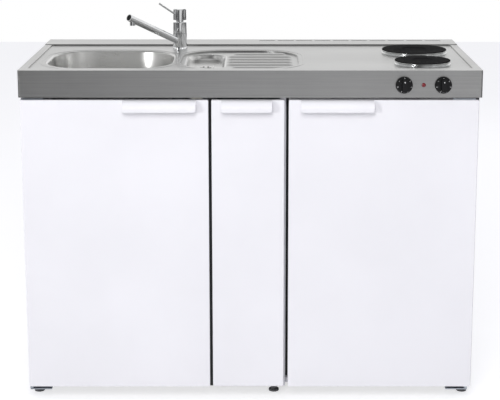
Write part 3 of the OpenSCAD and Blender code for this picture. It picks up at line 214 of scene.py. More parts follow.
class Recipe(Sheet):
    """The node tree of one finish: a Principled shader and what varies over it."""

    def __init__(self, name: str, **constants: Socketed) -> None:
        """Starts a material with one Principled shader.

        Args:
            name: The material's name.
            **constants: Values for the shader's sockets, with underscores for spaces.
        """
        self.material = bpy.data.materials.new(name)
        self.material.use_nodes = True
        super().__init__(self.material.node_tree)
        self.shader = self.node("ShaderNodeBsdfPrincipled")
        self.tree.links.new(self.shader.outputs[0], self.node("ShaderNodeOutputMaterial").inputs[0])
        for key, value in constants.items():
            self.feed(key.replace("_", " "), value)

    def feed(self, name: str, value: Socketed) -> None:
        """Gives the Principled shader's named socket a value or a link."""
        self.fill(self.shader.inputs[name], value)

    def place(self, scale: Point = (1.0, 1.0, 1.0), turn: Point = (0.0, 0.0, 0.0)) -> Value:
        """Object coordinates, scaled and turned.

        Args:
            scale: Factors along X, Y and Z.
            turn: Turn about X, Y and Z, in radians.

        Returns:
            The coordinates.
        """
        coords = self.value("ShaderNodeTexCoord", out="Object")
        return self.value("ShaderNodeMapping", {}, {"Vector": coords, "Scale": scale, "Rotation": turn})

    def axis(self, index: int) -> Value:
        """One of the object coordinates: 0 for X, 1 for Y, 2 for Z."""
        return self.value("ShaderNodeSeparateXYZ", {}, {0: self.place()}, out=index)

    def noise(self, scale: float, detail: float = 2.0, vector: Value | None = None,
              rough: float = 0.5) -> Value:
        """A noise pattern from 0 to 1."""
        return self.value("ShaderNodeTexNoise", {}, {
            "Vector": vector or self.place(), "Scale": scale, "Detail": detail, "Roughness": rough})

    def bump(self, height: Value, distance: float, strength: float = 1.0) -> None:
        """Lets a height, in units of distance metres, tilt the surface."""
        self.feed("Normal", self.value("ShaderNodeBump", {}, {
            "Height": height, "Distance": distance, "Strength": strength}))

    def facing(self, index: int) -> Value:
        """How far the face looks along an axis: 1 or -1 where it is square to it, 0 beside it."""
        normal = self.value("ShaderNodeNewGeometry", out="Normal")
        return self.value("ShaderNodeSeparateXYZ", {}, {0: normal}, out=index)


# ----------------------------------------
# Finishes
# ----------------------------------------


class Grain(Enum):
    """The way in which a sheet was brushed, as stretch factors of its noise along X, Y and Z."""

    ALONG_X = (4.0, 620.0, 620.0)
    ALONG_Y = (620.0, 4.0, 620.0)
    ALONG_Z = (620.0, 620.0, 4.0)


@dataclass(frozen=True)
class BrushedSteel:
    """Stainless or zinc-plated sheet with a fine directional grain and faint handling marks."""

    name: str
    tone: Colour = (0.60, 0.61, 0.62)
    grain: Grain = Grain.ALONG_X
    roughness: float = 0.30
    scratch: float = 0.10
    cloud: float = 0.06
    darkest: float = 0.72
    brightest: float = 1.22

    def make(self) -> bpy.types.Material:
        """Builds the finish.

        Returns:
            The material.
        """
        r = Recipe(self.name, Metallic=1.0)
        lines = r.noise(scale=1.0, detail=3.0, vector=r.place(scale=self.grain.value), rough=0.7)
        fine = r.noise(scale=2.3, detail=2.0, vector=r.place(scale=self.grain.value), rough=0.6)
        clouds = r.noise(scale=5.0, detail=4.0)
        smears = r.noise(scale=14.0, detail=5.0, rough=0.65)
        shade = lines.swing(self.scratch) + clouds.swing(self.cloud)
        dark = scaled(self.tone, self.darkest)
        bright = scaled(self.tone, self.brightest)
        r.feed("Base Color", r.blend((shade + 0.5).ramp(0.0, 1.0), dark, bright))
        r.feed("Roughness", smears.swing(0.10) + fine.swing(0.12) + self.roughness)
        r.bump(lines + fine * 0.5, distance=0.00006, strength=0.35)
        return r.material


@dataclass(frozen=True)
class WorktopSteel:
    """The worktop's sheet: brushed along X, with painted shade that gives faces looking to the front or
    back, such as the aprons, a darker satin grey than its level faces.
    """

    name: str = "worktop_steel"
    level: Colour = (0.60, 0.60, 0.59)
    # painted shade: the tone of faces that look to the front or back, standing for the dark room that
    # they mirror
    upright: Colour = (0.30, 0.30, 0.295)
    roughness: float = 0.36
    broad_grain: Point = (1.5, 95.0, 95.0)
    wipe_grain: Point = (1.0, 2.6, 1.0)
    wipe_turn: float = 0.5
    darkening: float = 0.28
    brightening: float = 0.20

    def make(self) -> bpy.types.Material:
        """Builds the finish.

        Returns:
            The material.
        """
        r = Recipe(self.name, Metallic=1.0)
        lines = r.noise(scale=1.0, detail=3.0, vector=r.place(scale=Grain.ALONG_X.value), rough=0.72)
        broad = r.noise(scale=1.0, detail=2.0, vector=r.place(scale=self.broad_grain), rough=0.6)
        smears = r.noise(scale=9.0, detail=5.0, rough=0.6)
        wiped = r.place(scale=self.wipe_grain, turn=(0.0, 0.0, self.wipe_turn))
        wipes = r.noise(scale=3.0, detail=3.0, vector=wiped)
        # painted shade: faces that look along Y, such as the front apron, take the darker upright tone in
        # place of the level tone
        upright_shade_mask = r.facing(1).absolute().ramp(0.45, 0.90)
        tone = r.blend(upright_shade_mask, self.level, self.upright)
        grain = lines.swing(0.26) + broad.swing(0.06) + smears.swing(0.08)
        dark = r.blend(self.darkening, tone, BLACK)
        pale = r.blend(self.brightening, tone, WHITE)
        r.feed("Base Color", r.blend((grain + 0.5).ramp(0.15, 0.85), dark, pale))
        r.feed("Roughness", wipes.swing(0.10) + lines.swing(0.14) + self.roughness)
        r.bump(lines, distance=0.00003, strength=0.3)
        return r.material


@dataclass(frozen=True)
class Chrome:
    """Bright chrome plate with a trace of wiping marks."""

    name: str = "chrome"
    tone: Colour = (0.86, 0.87, 0.88)
    roughness: float = 0.06
    darkest: float = 0.94

    def make(self) -> bpy.types.Material:
        """Builds the finish.

        Returns:
            The material.
        """
        r = Recipe(self.name, Metallic=1.0)
        marks = r.noise(scale=70.0, detail=4.0, rough=0.6)
        haze = r.noise(scale=22.0, detail=3.0)
        r.feed("Base Color", r.blend(haze.ramp(0.35, 0.75), scaled(self.tone, self.darkest), self.tone))
        r.feed("Roughness", marks.swing(0.05) + haze.swing(0.04) + self.roughness)
        return r.material


@dataclass(frozen=True)
class PowderCoat:
    """Stoved paint on folded sheet: a faint orange-peel skin, slight toning and a soft sheen."""

    name: str
    tone: Colour = (0.86, 0.86, 0.91)
    roughness: float = 0.33
    peel: float = 0.00005
    toning: float = 0.02
    wave_share: float = 0.8

    def make(self) -> bpy.types.Material:
        """Builds the finish.

        Returns:
            The material.
        """
        r = Recipe(self.name, Coat_Weight=0.25, Coat_Roughness=0.12)
        peel = r.noise(scale=420.0, detail=2.0, rough=0.45)
        waves = r.noise(scale=35.0, detail=2.0)
        clouds = r.noise(scale=3.0, detail=3.0)
        low = scaled(self.tone, 1.0 - 2.0 * self.toning)
        r.feed("Base Color", r.blend(clouds.ramp(0.3, 0.7), low, self.tone))
        r.feed("Roughness", waves.swing(0.07) + peel.swing(0.05) + self.roughness)
        r.bump(peel + waves * self.wave_share, distance=self.peel, strength=0.5)
        return r.material


@dataclass(frozen=True)
class CastIron:
    """A turned hotplate: blackened iron with fine concentric tool marks and heat toning.

    The marks run round a vertical axis through `middle`.
    """

    name: str
    middle: Flat
    radius: float
    tone: Colour = (0.007, 0.007, 0.0075)
    heated: Colour = (0.014, 0.014, 0.0145)
    worn: Colour = (0.024, 0.0235, 0.023)
    roughness: float = 0.66
    mirror: float = 0.006
    marks_per_metre: float = 5200.0

    def make(self) -> bpy.types.Material:
        """Builds the finish.

        Returns:
            The material.
        """
        r = Recipe(self.name, Metallic=0.0, Specular_IOR_Level=self.mirror)
        x = r.axis(0) - self.middle[0]
        y = r.axis(1) - self.middle[1]
        away = (x * x + y * y) ** 0.5
        grit = r.noise(scale=900.0, detail=3.0, rough=0.6)
        clouds = r.noise(scale=18.0, detail=4.0)
        turned = (away * self.marks_per_metre).sine() * 0.5 + 0.5
        outer = (away / self.radius).ramp(0.35, 1.0)
        toned = r.blend(clouds.ramp(0.35, 0.7), self.tone, self.heated)
        r.feed("Base Color", r.blend(outer * 0.5 + grit * 0.25, toned, self.worn))
        r.feed("Roughness", grit.swing(0.2) + clouds.swing(0.12) + self.roughness)
        r.bump(turned * 0.6 + grit * 0.8, distance=0.00012, strength=0.6)
        return r.material


@dataclass(frozen=True)
class Moulded:
    """Moulded plastic or rubber: fine grain, slight unevenness of gloss and colour."""

    name: str
    tone: Colour
    roughness: float = 0.4
    grain: float = 700.0
    depth: float = 0.00004
    coat: float = 0.0
    gloss: float = 0.5
    darkest: float = 0.90
    brightest: float = 1.06

    def make(self) -> bpy.types.Material:
        """Builds the finish.

        Returns:
            The material.
        """
        r = Recipe(self.name, Coat_Weight=self.coat, Coat_Roughness=0.08, Specular_IOR_Level=self.gloss)
        grain = r.noise(scale=self.grain, detail=2.0, rough=0.55)
        clouds = r.noise(scale=12.0, detail=3.0)
        low = scaled(self.tone, self.darkest)
        high = scaled(self.tone, self.brightest)
        r.feed("Base Color", r.blend(clouds.ramp(0.3, 0.75), low, high))
        r.feed("Roughness", clouds.swing(0.10) + grain.swing(0.10) + self.roughness)
        r.bump(grain, distance=self.depth, strength=0.5)
        return r.material


@dataclass(frozen=True)
class ClearPlastic:
    """Lightly frosted clear plastic or glass, tinted at its edges."""

    name: str
    tone: Colour = (0.86, 0.93, 0.95)
    roughness: float = 0.12
    alpha: float = 0.45
    brightest: float = 1.05
    scuff_grain: Point = (40.0, 260.0, 90.0)

    def make(self) -> bpy.types.Material:
        """Builds the finish.

        Returns:
            The material.
        """
        r = Recipe(self.name, Specular_IOR_Level=0.6)
        haze = r.noise(scale=25.0, detail=3.0)
        scuffs = r.noise(scale=1.0, detail=3.0, vector=r.place(scale=self.scuff_grain))
        r.feed("Base Color", r.blend(haze, self.tone, scaled(self.tone, self.brightest)))
        r.feed("Roughness", scuffs.swing(0.12) + self.roughness)
        r.feed("Alpha", haze.swing(0.08) + scuffs.swing(0.06) + self.alpha)
        return r.material


@dataclass(frozen=True)
class PlainMark:
    """Printed mark on a knob."""

    name: str = "print_white"
    tone: Colour = (0.75, 0.75, 0.74)
    roughness: float = 0.45
    darkest: float = 0.7

    def make(self) -> bpy.types.Material:
        """Builds the finish.

        Returns:
            The material.
        """
        r = Recipe(self.name)
        worn = r.noise(scale=1400.0, detail=3.0, rough=0.6)
        r.feed("Base Color", r.blend(worn.ramp(0.25, 0.6), scaled(self.tone, self.darkest), self.tone))
        r.feed("Roughness", worn * 0.2 + self.roughness)
        return r.material


# ----------------------------------------
# Bench: shaping and fitting of pieces
# ----------------------------------------


class Facing(Enum):
    """Which way a turned piece's axis points, as the turn that brings +Z there."""

    UP = (0.0, 0.0, 0.0)
    FRONT = (math.pi / 2, 0.0, 0.0)

    def direction(self) -> Vector:
        """The unit vector along the axis."""
        return Euler(self.value).to_matrix() @ Vector((0, 0, 1))


class Bench:
    """Starts pieces from primitives or from copies of nodes, shapes them and fits them to a body."""

    same_point = 0.000002  # metres apart at which two corners count as one
    same_plane = 0.5  # degrees between faces that count as one
    smooth_limit = 32.0  # degrees up to which a softened node is shaded smooth

    @staticmethod
    def only(obj: bpy.types.Object | None = None) -> None:
        """Leaves edit mode and selects one object or nothing.

        Args:
            obj: The object to select, if any.
        """
        if bpy.context.object and bpy.context.object.mode != "OBJECT":
            bpy.ops.object.mode_set(mode="OBJECT")
        bpy.ops.object.select_all(action="DESELECT")
        if obj:
            obj.select_set(True)
            bpy.context.view_layer.objects.active = obj

    @staticmethod
    def settle(obj: bpy.types.Object) -> None:
        """Moves the object's place, turn and scale into its mesh."""
        Bench.only(obj)
        bpy.ops.object.transform_apply(location=True, rotation=True, scale=True)

    @staticmethod
    def modify(obj: bpy.types.Object, kind: str, **settings: object) -> None:
        """Adds a modifier and applies it.

        Args:
            obj: The piece.
            kind: The modifier's type.
            **settings: Its properties.
        """
        Bench.only(obj)
        made = obj.modifiers.new(kind.title(), kind)
        for key, value in settings.items():
            setattr(made, key, value)
        bpy.ops.object.modifier_apply(modifier=made.name)

    @staticmethod
    def smooth(obj: bpy.types.Object, degrees: float = 35.0) -> None:
        """Smooth shading over edges flatter than the given angle."""
        Bench.only(obj)
        bpy.ops.object.shade_smooth_by_angle(angle=math.radians(degrees))

    @staticmethod
    def fit(obj: bpy.types.Object, material: bpy.types.Material, slot: str, body: str,
            stands_for: Sequence[str] = ()) -> bpy.types.Object:
        """Dresses a finished piece and hangs it on its body.

        Args:
            obj: The piece, in place.
            material: Its finish.
            slot: The record's material slot; not used.
            body: The body it rides on.
            stands_for: Nodes that the piece replaces.

        Returns:
            The piece.
        """
        obj.data.materials.clear()
        obj.data.materials.append(material)
        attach(obj, body)
        if stands_for:
            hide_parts(*stands_for)
        LOG.info("%s rides on %s", obj.name, body)
        return obj

    @staticmethod
    def copy_of(node: str, name: str) -> bpy.types.Object:
        """A merged copy of a node's mesh, with flat faces joined, ready to be worked on.

        Args:
            node: The node to copy.
            name: Name of the new piece.

        Returns:
            The copy, as an object of its own.
        """
        source = frame["nodes"][node]
        made = bpy.data.objects.new(name, source.data.copy())
        bpy.context.scene.collection.objects.link(made)
        made.data.materials.clear()
        Bench.only(made)
        bpy.ops.object.mode_set(mode="EDIT")
        bpy.ops.mesh.select_all(action="SELECT")
        bpy.ops.mesh.remove_doubles(threshold=Bench.same_point)
        bpy.ops.mesh.dissolve_limited(angle_limit=math.radians(Bench.same_plane))
        bpy.ops.object.mode_set(mode="OBJECT")
        return made

    @staticmethod
    def softened(node: str, width: float, segments: int = 2, sharp: float = 40.0) -> bpy.types.Object:
        """A copy of a node with its sharp edges rounded.

        Args:
            node: The node to copy.
            width: Width of the rounded edge.
            segments: Faces across the rounding.
            sharp: Edges sharper than this angle, in degrees, are rounded.

        Returns:
            The piece, named after the node.
        """
        made = Bench.copy_of(node, f"{node}_skin")
        if width:
            Bench.modify(made, "BEVEL", width=width, segments=segments, limit_method="ANGLE",
                         angle_limit=math.radians(sharp), use_clamp_overlap=True,
                         miter_outer="MITER_ARC", harden_normals=False)
        Bench.smooth(made, Bench.smooth_limit)
        Bench.modify(made, "WEIGHTED_NORMAL", mode="FACE_AREA", weight=60, keep_sharp=True)
        return made

    @staticmethod
    def block(name: str, low: Point, high: Point) -> bpy.types.Object:
        """A plain box.

        Args:
            name: Name of the piece.
            low: Its lowest corner.
            high: Its highest corner.

        Returns:
            The piece.
        """
        Bench.only()
        middle = [(a + b) / 2 for a, b in zip(low, high)]
        bpy.ops.mesh.primitive_cube_add(size=1.0, location=middle)
        made = bpy.context.object
        made.name = name
        made.scale = [b - a for a, b in zip(low, high)]
        Bench.settle(made)
        Bench.smooth(made)
        return made

    @staticmethod
    def plate(name: str, low: Flat, high: Flat, height: float, corner: float,
              steps: int) -> bpy.types.Object:
        """A level plate with round corners, left in edit mode with all of it selected.

        Args:
            name: Name of the piece.
            low: Its lowest corner, seen from above.
            high: Its highest corner, seen from above.
            height: Its height.
            corner: Its corner radius.
            steps: Faces across each corner.

        Returns:
            The piece.
        """
        Bench.only()
        middle = [(a + b) / 2 for a, b in zip(low, high)]
        bpy.ops.mesh.primitive_plane_add(size=1.0, location=(*middle, height))
        made = bpy.context.object
        made.name = name
        made.scale = (high[0] - low[0], high[1] - low[1], 1.0)
        Bench.settle(made)
        bpy.ops.object.mode_set(mode="EDIT")
        bpy.ops.mesh.select_all(action="SELECT")
        bpy.ops.mesh.bevel(offset=corner, segments=steps, affect="VERTICES")
        bpy.ops.mesh.select_all(action="SELECT")
        return made

    @staticmethod
    def turned(name: str, rings: Rings, origin: Sequence[float], facing: Facing | Vector = Facing.UP,
               steps: int = 48, angle: float = 35.0) -> bpy.types.Object:
        """A turned piece: a circle extruded and resized from ring to ring.

        Args:
            name: Name of the piece.
            rings: Radius and height of each ring along the axis.
            origin: The axis's starting point.
            facing: Where the axis points, as a named way or a unit vector.
            steps: Corners of each ring.
            angle: Edges flatter than this angle are smooth.

        Returns:
            The piece.
        """
        Bench.only()
        along = facing.direction() if isinstance(facing, Facing) else facing
        track = along.to_track_quat("Z", "Y").to_euler()
        turn = Euler(facing.value) if isinstance(facing, Facing) else track
        start = Vector(origin)
        radius, height = rings[0]
        bpy.ops.mesh.primitive_circle_add(
            vertices=steps, radius=radius, fill_type="NGON",
            location=start + along * height, rotation=turn)
        made = bpy.context.object
        made.name = name
        Bench.settle(made)
        bpy.ops.object.mode_set(mode="EDIT")
        bpy.ops.mesh.select_all(action="SELECT")
        for next_radius, next_height in rings[1:]:
            bpy.ops.mesh.extrude_region_move(
                TRANSFORM_OT_translate={"value": along * (next_height - height)})
            ratio = next_radius / radius
            bpy.ops.transform.resize(value=(ratio, ratio, ratio),
                                     center_override=start + along * next_height)
            radius, height = next_radius, next_height
        bpy.ops.mesh.select_all(action="SELECT")
        bpy.ops.mesh.normals_make_consistent(inside=False)
        bpy.ops.object.mode_set(mode="OBJECT")
        Bench.smooth(made, angle)
        return made

    @staticmethod
    def joined(name: str, parts: Sequence[bpy.types.Object]) -> bpy.types.Object:
        """Joins pieces into one mesh.

        Args:
            name: Name of the joined piece.
            parts: The pieces.

        Returns:
            The joined piece.
        """
        Bench.only(parts[0])
        for part in parts:
            part.select_set(True)
        bpy.context.view_layer.objects.active = parts[0]
        bpy.ops.object.join()
        parts[0].name = name
        return parts[0]


def dress(material: bpy.types.Material, *nodes: str) -> None:
    """Gives nodes that keep their shape their finish.

    Args:
        material: The finish.
        *nodes: The nodes.
    """
    for node in nodes:
        shown = frame["nodes"][node]
        shown.data.materials.clear()
        shown.data.materials.append(material)
        LOG.info("%s keeps its shape", node)


# ----------------------------------------
# Studio
# ----------------------------------------


@dataclass(frozen=True)
class Lamp:
    """A soft round lamp, aimed at a target; metal shows it only where it is mirrored."""

    name: str
    place: Point
    target: Point
    size: float
    energy: float
    mirrored: bool = False

    def hang(self) -> None:
        """Adds the lamp to the scene."""
        bpy.ops.object.light_add(type="AREA", location=self.place)
        lamp = bpy.context.object
        lamp.name = self.name
        lamp.data.shape = "DISK"
        lamp.data.size = self.size
        lamp.data.energy = self.energy
        lamp.visible_glossy = self.mirrored
        aim = Vector(self.target) - Vector(self.place)
        lamp.rotation_euler = aim.to_track_quat("-Z", "Y").to_euler()


@dataclass(frozen=True)
class Surround:
    """The world: white to the camera, even light on matt faces, and zones of light for mirroring faces.

    The zones are steps along the direction's X, Y and Z, each from 0 to 1.
    """

    ambient: float = 0.44
    ambient_tint: Colour = (0.89, 0.895, 1.0)
    base: float = 0.06
    behind: Step = Step(0.50, 0.96, 1.02)
    front: Step = Step(0.40, 0.95, 0.46)
    front_left_loss: Step = Step(0.0, 0.25, 0.90)
    front_right_gain: Step = Step(0.0, 0.25, 0.60)
    panel_start: Step = Step(0.56, 0.62, 0.80)
    panel_end: Step = Step(0.70, 0.76)
    flank: Step = Step(0.93, 0.98, 0.32)
    side: Step = Step(0.55, 0.85, 0.75)
    low_start: Step = Step(0.03, 0.12)
    low_end: Step = Step(0.45, 0.65)
    ceiling: Step = Step(0.80, 0.93, 0.50)

    def mirrored(self, x: Value, y: Value, z: Value) -> Value:
        """The brightness that mirroring faces see in a direction.

        Args:
            x: The direction's part to the right.
            y: Its part towards the wall.
            z: Its part upwards.

        Returns:
            The brightness.
        """
        aside, left, front = x.absolute(), x * -1.0, y * -1.0
        uneven = 1.0 - left.step(self.front_left_loss) + x.step(self.front_right_gain)
        panels = aside.step(self.panel_start) * (1.0 - aside.step(self.panel_end))
        low = z.step(self.low_start) * (1.0 - z.step(self.low_end))
        return (y.step(self.behind) + front.step(self.front) * uneven + panels + aside.step(self.flank)
                + aside.step(self.side) * low + z.step(self.ceiling) + self.base)

    def build(self) -> None:
        """Makes the world."""
        world = bpy.data.worlds.new("surround")
        bpy.context.scene.world = world
        world.use_nodes = True
        s = Sheet(world.node_tree)
        way = s.value("ShaderNodeTexCoord", out="Generated")
        x, y, z = (s.value("ShaderNodeSeparateXYZ", {}, {0: way}, out=index) for index in range(3))
        paths = s.node("ShaderNodeLightPath")
        glossy = Value(s, paths.outputs["Is Glossy Ray"])
        seen = s.value("ShaderNodeMath", {"operation": "MAXIMUM"}, {
            0: Value(s, paths.outputs["Is Camera Ray"]),
            1: Value(s, paths.outputs["Is Transmission Ray"])})
        plain = s.value("ShaderNodeMix", {}, {0: glossy, 2: self.ambient, 3: self.mirrored(x, y, z)})
        strength = s.value("ShaderNodeMix", {}, {0: seen, 2: plain, 3: 1.0})
        white = s.value("ShaderNodeMath", {"operation": "MAXIMUM"}, {0: seen, 1: glossy})
        light = s.node("ShaderNodeBackground", {}, {
            "Color": s.blend(white, self.ambient_tint, WHITE), "Strength": strength})
        s.tree.links.new(light.outputs[0], s.node("ShaderNodeOutputWorld").inputs[0])


@dataclass(frozen=True)
class Floor:
    """The pale floor: white to the camera, with the unit's soft shadow, and dark at its ends in metal."""

    size: float = 14.0
    height: float = -0.0005
    roughness: float = 0.9
    mirror: float = 0.1
    tone: Colour = (0.58, 0.58, 0.59)
    bright: Colour = (0.60, 0.60, 0.61)
    dark: Colour = (0.10, 0.10, 0.10)
    left_end: Step = Step(0.3, 1.3)
    right_end: Step = Step(2.2, 2.8)
    glow: float = 0.64
    glow_in_metal: float = 0.7
    glow_to_right: Step = Step(0.2, 1.4, 0.4)
    glow_limit: float = 1.1

    def build(self) -> None:
        """Lays the floor."""
        Bench.only()
        bpy.ops.mesh.primitive_plane_add(size=self.size, location=(0, 0, self.height))
        floor = bpy.context.object
        floor.name = "studio_floor"
        r = Recipe("floor_white", Roughness=self.roughness, Specular_IOR_Level=self.mirror,
                   Emission_Strength=self.glow * self.glow_limit)
        speckle = r.noise(scale=6.0, detail=2.0)
        paths = r.node("ShaderNodeLightPath")
        glossy = Value(r, paths.outputs["Is Glossy Ray"])
        aside = r.axis(0)
        ends = (aside * -1.0).step(self.left_end) + aside.step(self.right_end)
        r.feed("Base Color", r.blend(glossy * ends, r.blend(speckle, self.tone, self.bright), self.dark))
        in_metal = glossy * (1.0 - ends) * (aside.step(self.glow_to_right) + self.glow_in_metal)
        seen = Value(r, paths.outputs["Is Camera Ray"]) + in_metal
        r.feed("Emission Color", r.blend(seen / self.glow_limit, BLACK, WHITE))
        floor.data.materials.append(r.material)


@dataclass
class Studio:
    """Camera at the photograph's height, a pale floor, a white surround and soft lamps."""

    eye: Point = (0.0185, -3.888, 1.4555)
    tilt: float = 0.2022
    focus_px: float = 1414.2
    frame_px: float = 500.0
    sensor: float = 36.0
    shift: Flat = (-0.0148, -0.12)
    lamps: tuple[Lamp, ...] = (
        Lamp("key_lamp", (-5.2, -6.2, 1.75), (0.0, -0.25, 0.80), size=0.95, energy=165.0, mirrored=True),
        Lamp("front_lamp", (-0.2, -4.2, 3.2), (0.0, -0.2, 0.8), size=2.4, energy=106.0),
        Lamp("top_lamp", (0.2, -0.3, 3.4), (0.0, 0.0, 0.8), size=2.6, energy=8.0),
        Lamp("back_lamp", (1.4, 3.2, 2.4), (0.0, 0.2, 0.6), size=2.2, energy=8.0),
    )

    def camera(self) -> None:
        """Places the camera."""
        bpy.ops.object.camera_add(location=self.eye, rotation=(math.pi / 2 - self.tilt, 0.0, 0.0))
        camera = bpy.context.object
        camera.name = "camera"
        camera.data.sensor_width = self.sensor
        camera.data.lens = self.focus_px * self.sensor / self.frame_px
        camera.data.shift_x, camera.data.shift_y = self.shift
        bpy.context.scene.camera = camera

    def build(self) -> None:
        """Makes the whole studio."""
        bpy.context.scene.view_settings.view_transform = "Standard"
        self.camera()
        Surround().build()
        Floor().build()
        for lamp in self.lamps:
            lamp.hang()


# ----------------------------------------
# Sub-assemblies
# ----------------------------------------

BODY_OF = {node: body for body, nodes in frame["record"]["behaviour"]["bodies"].items() for node in nodes}


class Shop:
    """The finishes under the record's slot names, each made once."""

    finishes = {look.name: look for look in (
        WorktopSteel(),
        BrushedSteel("bowl_steel", (0.70, 0.70, 0.69), scratch=0.06, cloud=0.08),
        BrushedSteel("waste_steel", (0.60, 0.60, 0.59), Grain.ALONG_Y, roughness=0.20,
                     scratch=0.06, cloud=0.10),
        Chrome(),
        BrushedSteel("stem_brass", (0.55, 0.40, 0.16), Grain.ALONG_Z, roughness=0.28),
        Moulded("pipe_plastic", (0.74, 0.74, 0.70), roughness=0.42),
        Moulded("plug_rubber", (0.022, 0.022, 0.024), roughness=0.55, grain=500.0),
        BrushedSteel("spill_ring", (0.62, 0.63, 0.63), Grain.ALONG_Z, roughness=0.20, scratch=0.05,
                     cloud=0.12),
        BrushedSteel("zinc", (0.46, 0.49, 0.53), Grain.ALONG_X, roughness=0.32, scratch=0.10,
                     cloud=0.22),
        Chrome("basket_wire", (0.70, 0.70, 0.71), roughness=0.16),
        Moulded("switch_plastic", (0.66, 0.64, 0.57), roughness=0.45),
        Moulded("lamp_red", (0.17, 0.003, 0.010), roughness=0.14, grain=300.0, depth=0.00001, coat=0.3),
        Moulded("knob_black", (0.006, 0.006, 0.0065), roughness=0.38, grain=900.0, depth=0.00003,
                gloss=0.22),
        PowderCoat("enamel", (0.90, 0.893, 0.915)),
        PowderCoat("cabinet_paint", (0.72, 0.72, 0.75), roughness=0.42),
        BrushedSteel("back_galvanised", (0.50, 0.53, 0.54), Grain.ALONG_Z, roughness=0.42,
                     scratch=0.05, cloud=0.30),
        Moulded("foot_plastic", (0.10, 0.10, 0.105), roughness=0.50),
        PowderCoat("casing_paint", (0.76, 0.76, 0.78), roughness=0.38),
        Moulded("liner_plastic", (0.86, 0.87, 0.87), roughness=0.28, grain=200.0, depth=0.00002,
                coat=0.2),
        Moulded("gasket", (0.50, 0.50, 0.51), roughness=0.60, grain=400.0),
        ClearPlastic("clear_plastic"),
        ClearPlastic("glass", (0.74, 0.90, 0.86), roughness=0.06, alpha=0.38),
        BrushedSteel("evaporator", (0.66, 0.67, 0.68), Grain.ALONG_X, roughness=0.34, scratch=0.06,
                     cloud=0.14),
        PowderCoat("black_paint", (0.014, 0.014, 0.015), roughness=0.45, peel=0.00008),
    )}

    def __init__(self) -> None:
        """Starts with no finish made."""
        self.made: dict[str, bpy.types.Material] = {}

    def finish(self, slot: str) -> bpy.types.Material:
        """The material of a slot, made on first use.

        Args:
            slot: The slot's name.

        Returns:
            The material.
        """
        if slot not in self.made:
            self.made[slot] = self.finishes[slot].make()
        return self.made[slot]


@dataclass(frozen=True)
class Skin:
    """How a node's stand-in is made: its slot, and the width and the faces of its rounded edges.

    Edges sharper than `sharp` degrees are rounded; a width of 0 keeps them as they are.
    """

    node: str
    slot: str
    width: float = 0.0005
    segments: int = 2
    sharp: float = 40.0


@dataclass
class SubAssembly:
    """A group of nodes and the pieces that stand for them or are added to them."""

    shop: Shop

    def skin(self, look: Skin, material: bpy.types.Material | None = None) -> None:
        """Replaces a node by its softened copy.

        Args:
            look: The node, its slot and its edges.
            material: A finish of its own, where it differs from the slot's.
        """
        made = Bench.softened(look.node, look.width, look.segments, look.sharp)
        finish = material or self.shop.finish(look.slot)
        Bench.fit(made, finish, look.slot, BODY_OF[look.node], (look.node,))

    def skins(self, *looks: Skin) -> None:
        """Replaces several nodes by their softened copies."""
        for look in looks:
            self.skin(look)

    def keep(self, slot: str, *nodes: str) -> None:
        """Gives nodes that keep their shape the slot's finish."""
        dress(self.shop.finish(slot), *nodes)

    def add(self, piece: bpy.types.Object, slot: str, body: str,
            material: bpy.types.Material | None = None) -> None:
        """Hangs a further piece on a body, in the slot's finish or one of its own."""
        Bench.fit(piece, material or self.shop.finish(slot), slot, body)


@dataclass(frozen=True)
class Bead:
    """A low bead that is pressed into the field round an opening."""

    name: str
    low: Flat
    high: Flat
    corner: float
    gap: float = 0.011
    width: float = 0.004
    height: float = 0.0006
    sunk: float = 0.0002
    edge: float = 0.0018
    sharp: float = 50.0
    smooth: float = 70.0
    steps: int = 20

    def make(self, field_z: float) -> bpy.types.Object:
        """Shapes the bead.

        Args:
            field_z: Height of the field.

        Returns:
            The piece.
        """
        grow = self.gap + self.width
        low, high = [c - grow for c in self.low], [c + grow for c in self.high]
        bead = Bench.plate(self.name, low, high, field_z - self.sunk, self.corner + grow, self.steps)
        bpy.ops.mesh.inset(thickness=self.width)
        bpy.ops.mesh.delete(type="ONLY_FACE")
        bpy.ops.mesh.select_all(action="SELECT")
        bpy.ops.mesh.extrude_region_move(
            TRANSFORM_OT_translate={"value": (0, 0, self.height + self.sunk)})
        bpy.ops.mesh.select_all(action="SELECT")
        bpy.ops.mesh.normals_make_consistent(inside=False)
        bpy.ops.object.mode_set(mode="OBJECT")
        Bench.modify(bead, "BEVEL", width=self.edge, segments=2, limit_method="ANGLE",
                     angle_limit=math.radians(self.sharp), use_clamp_overlap=True)
        Bench.smooth(bead, self.smooth)
        return bead


@dataclass(frozen=True)
class DishLining:
    """The drawn surface of the small dish: a rolled lip, a soft fall and a shallow floor.

    Each step of `fall` goes inward and down by so much.
    """

    low: Flat = (-0.175, -0.218)
    high: Flat = (-0.068, 0.060)
    corner: float = 0.0525
    lip: float = 0.0025
    top: float = 0.8922
    sheet: float = 0.0003
    smooth: float = 60.0
    steps: int = 24
    fall: Rings = (
        (0.0024, 0.0001), (0.0010, 0.0002), (0.0012, 0.0010), (0.0014, 0.0024), (0.0014, 0.0034),
        (0.0018, 0.0036), (0.0026, 0.0030), (0.0040, 0.0022), (0.0050, 0.0012), (0.0060, 0.0006),
        (0.0060, 0.0001))

    def make(self) -> bpy.types.Object:
        """Shapes the lining.

        Returns:
            The piece.
        """
        low, high = [c - self.lip for c in self.low], [c + self.lip for c in self.high]
        lining = Bench.plate("dish_lining", low, high, self.top, self.corner + self.lip, self.steps)
        for inward, down in self.fall:
            bpy.ops.mesh.inset(thickness=inward, depth=-down)
        bpy.ops.object.mode_set(mode="OBJECT")
        Bench.modify(lining, "SOLIDIFY", thickness=self.sheet, offset=-1.0)
        Bench.smooth(lining, self.smooth)
        return lining


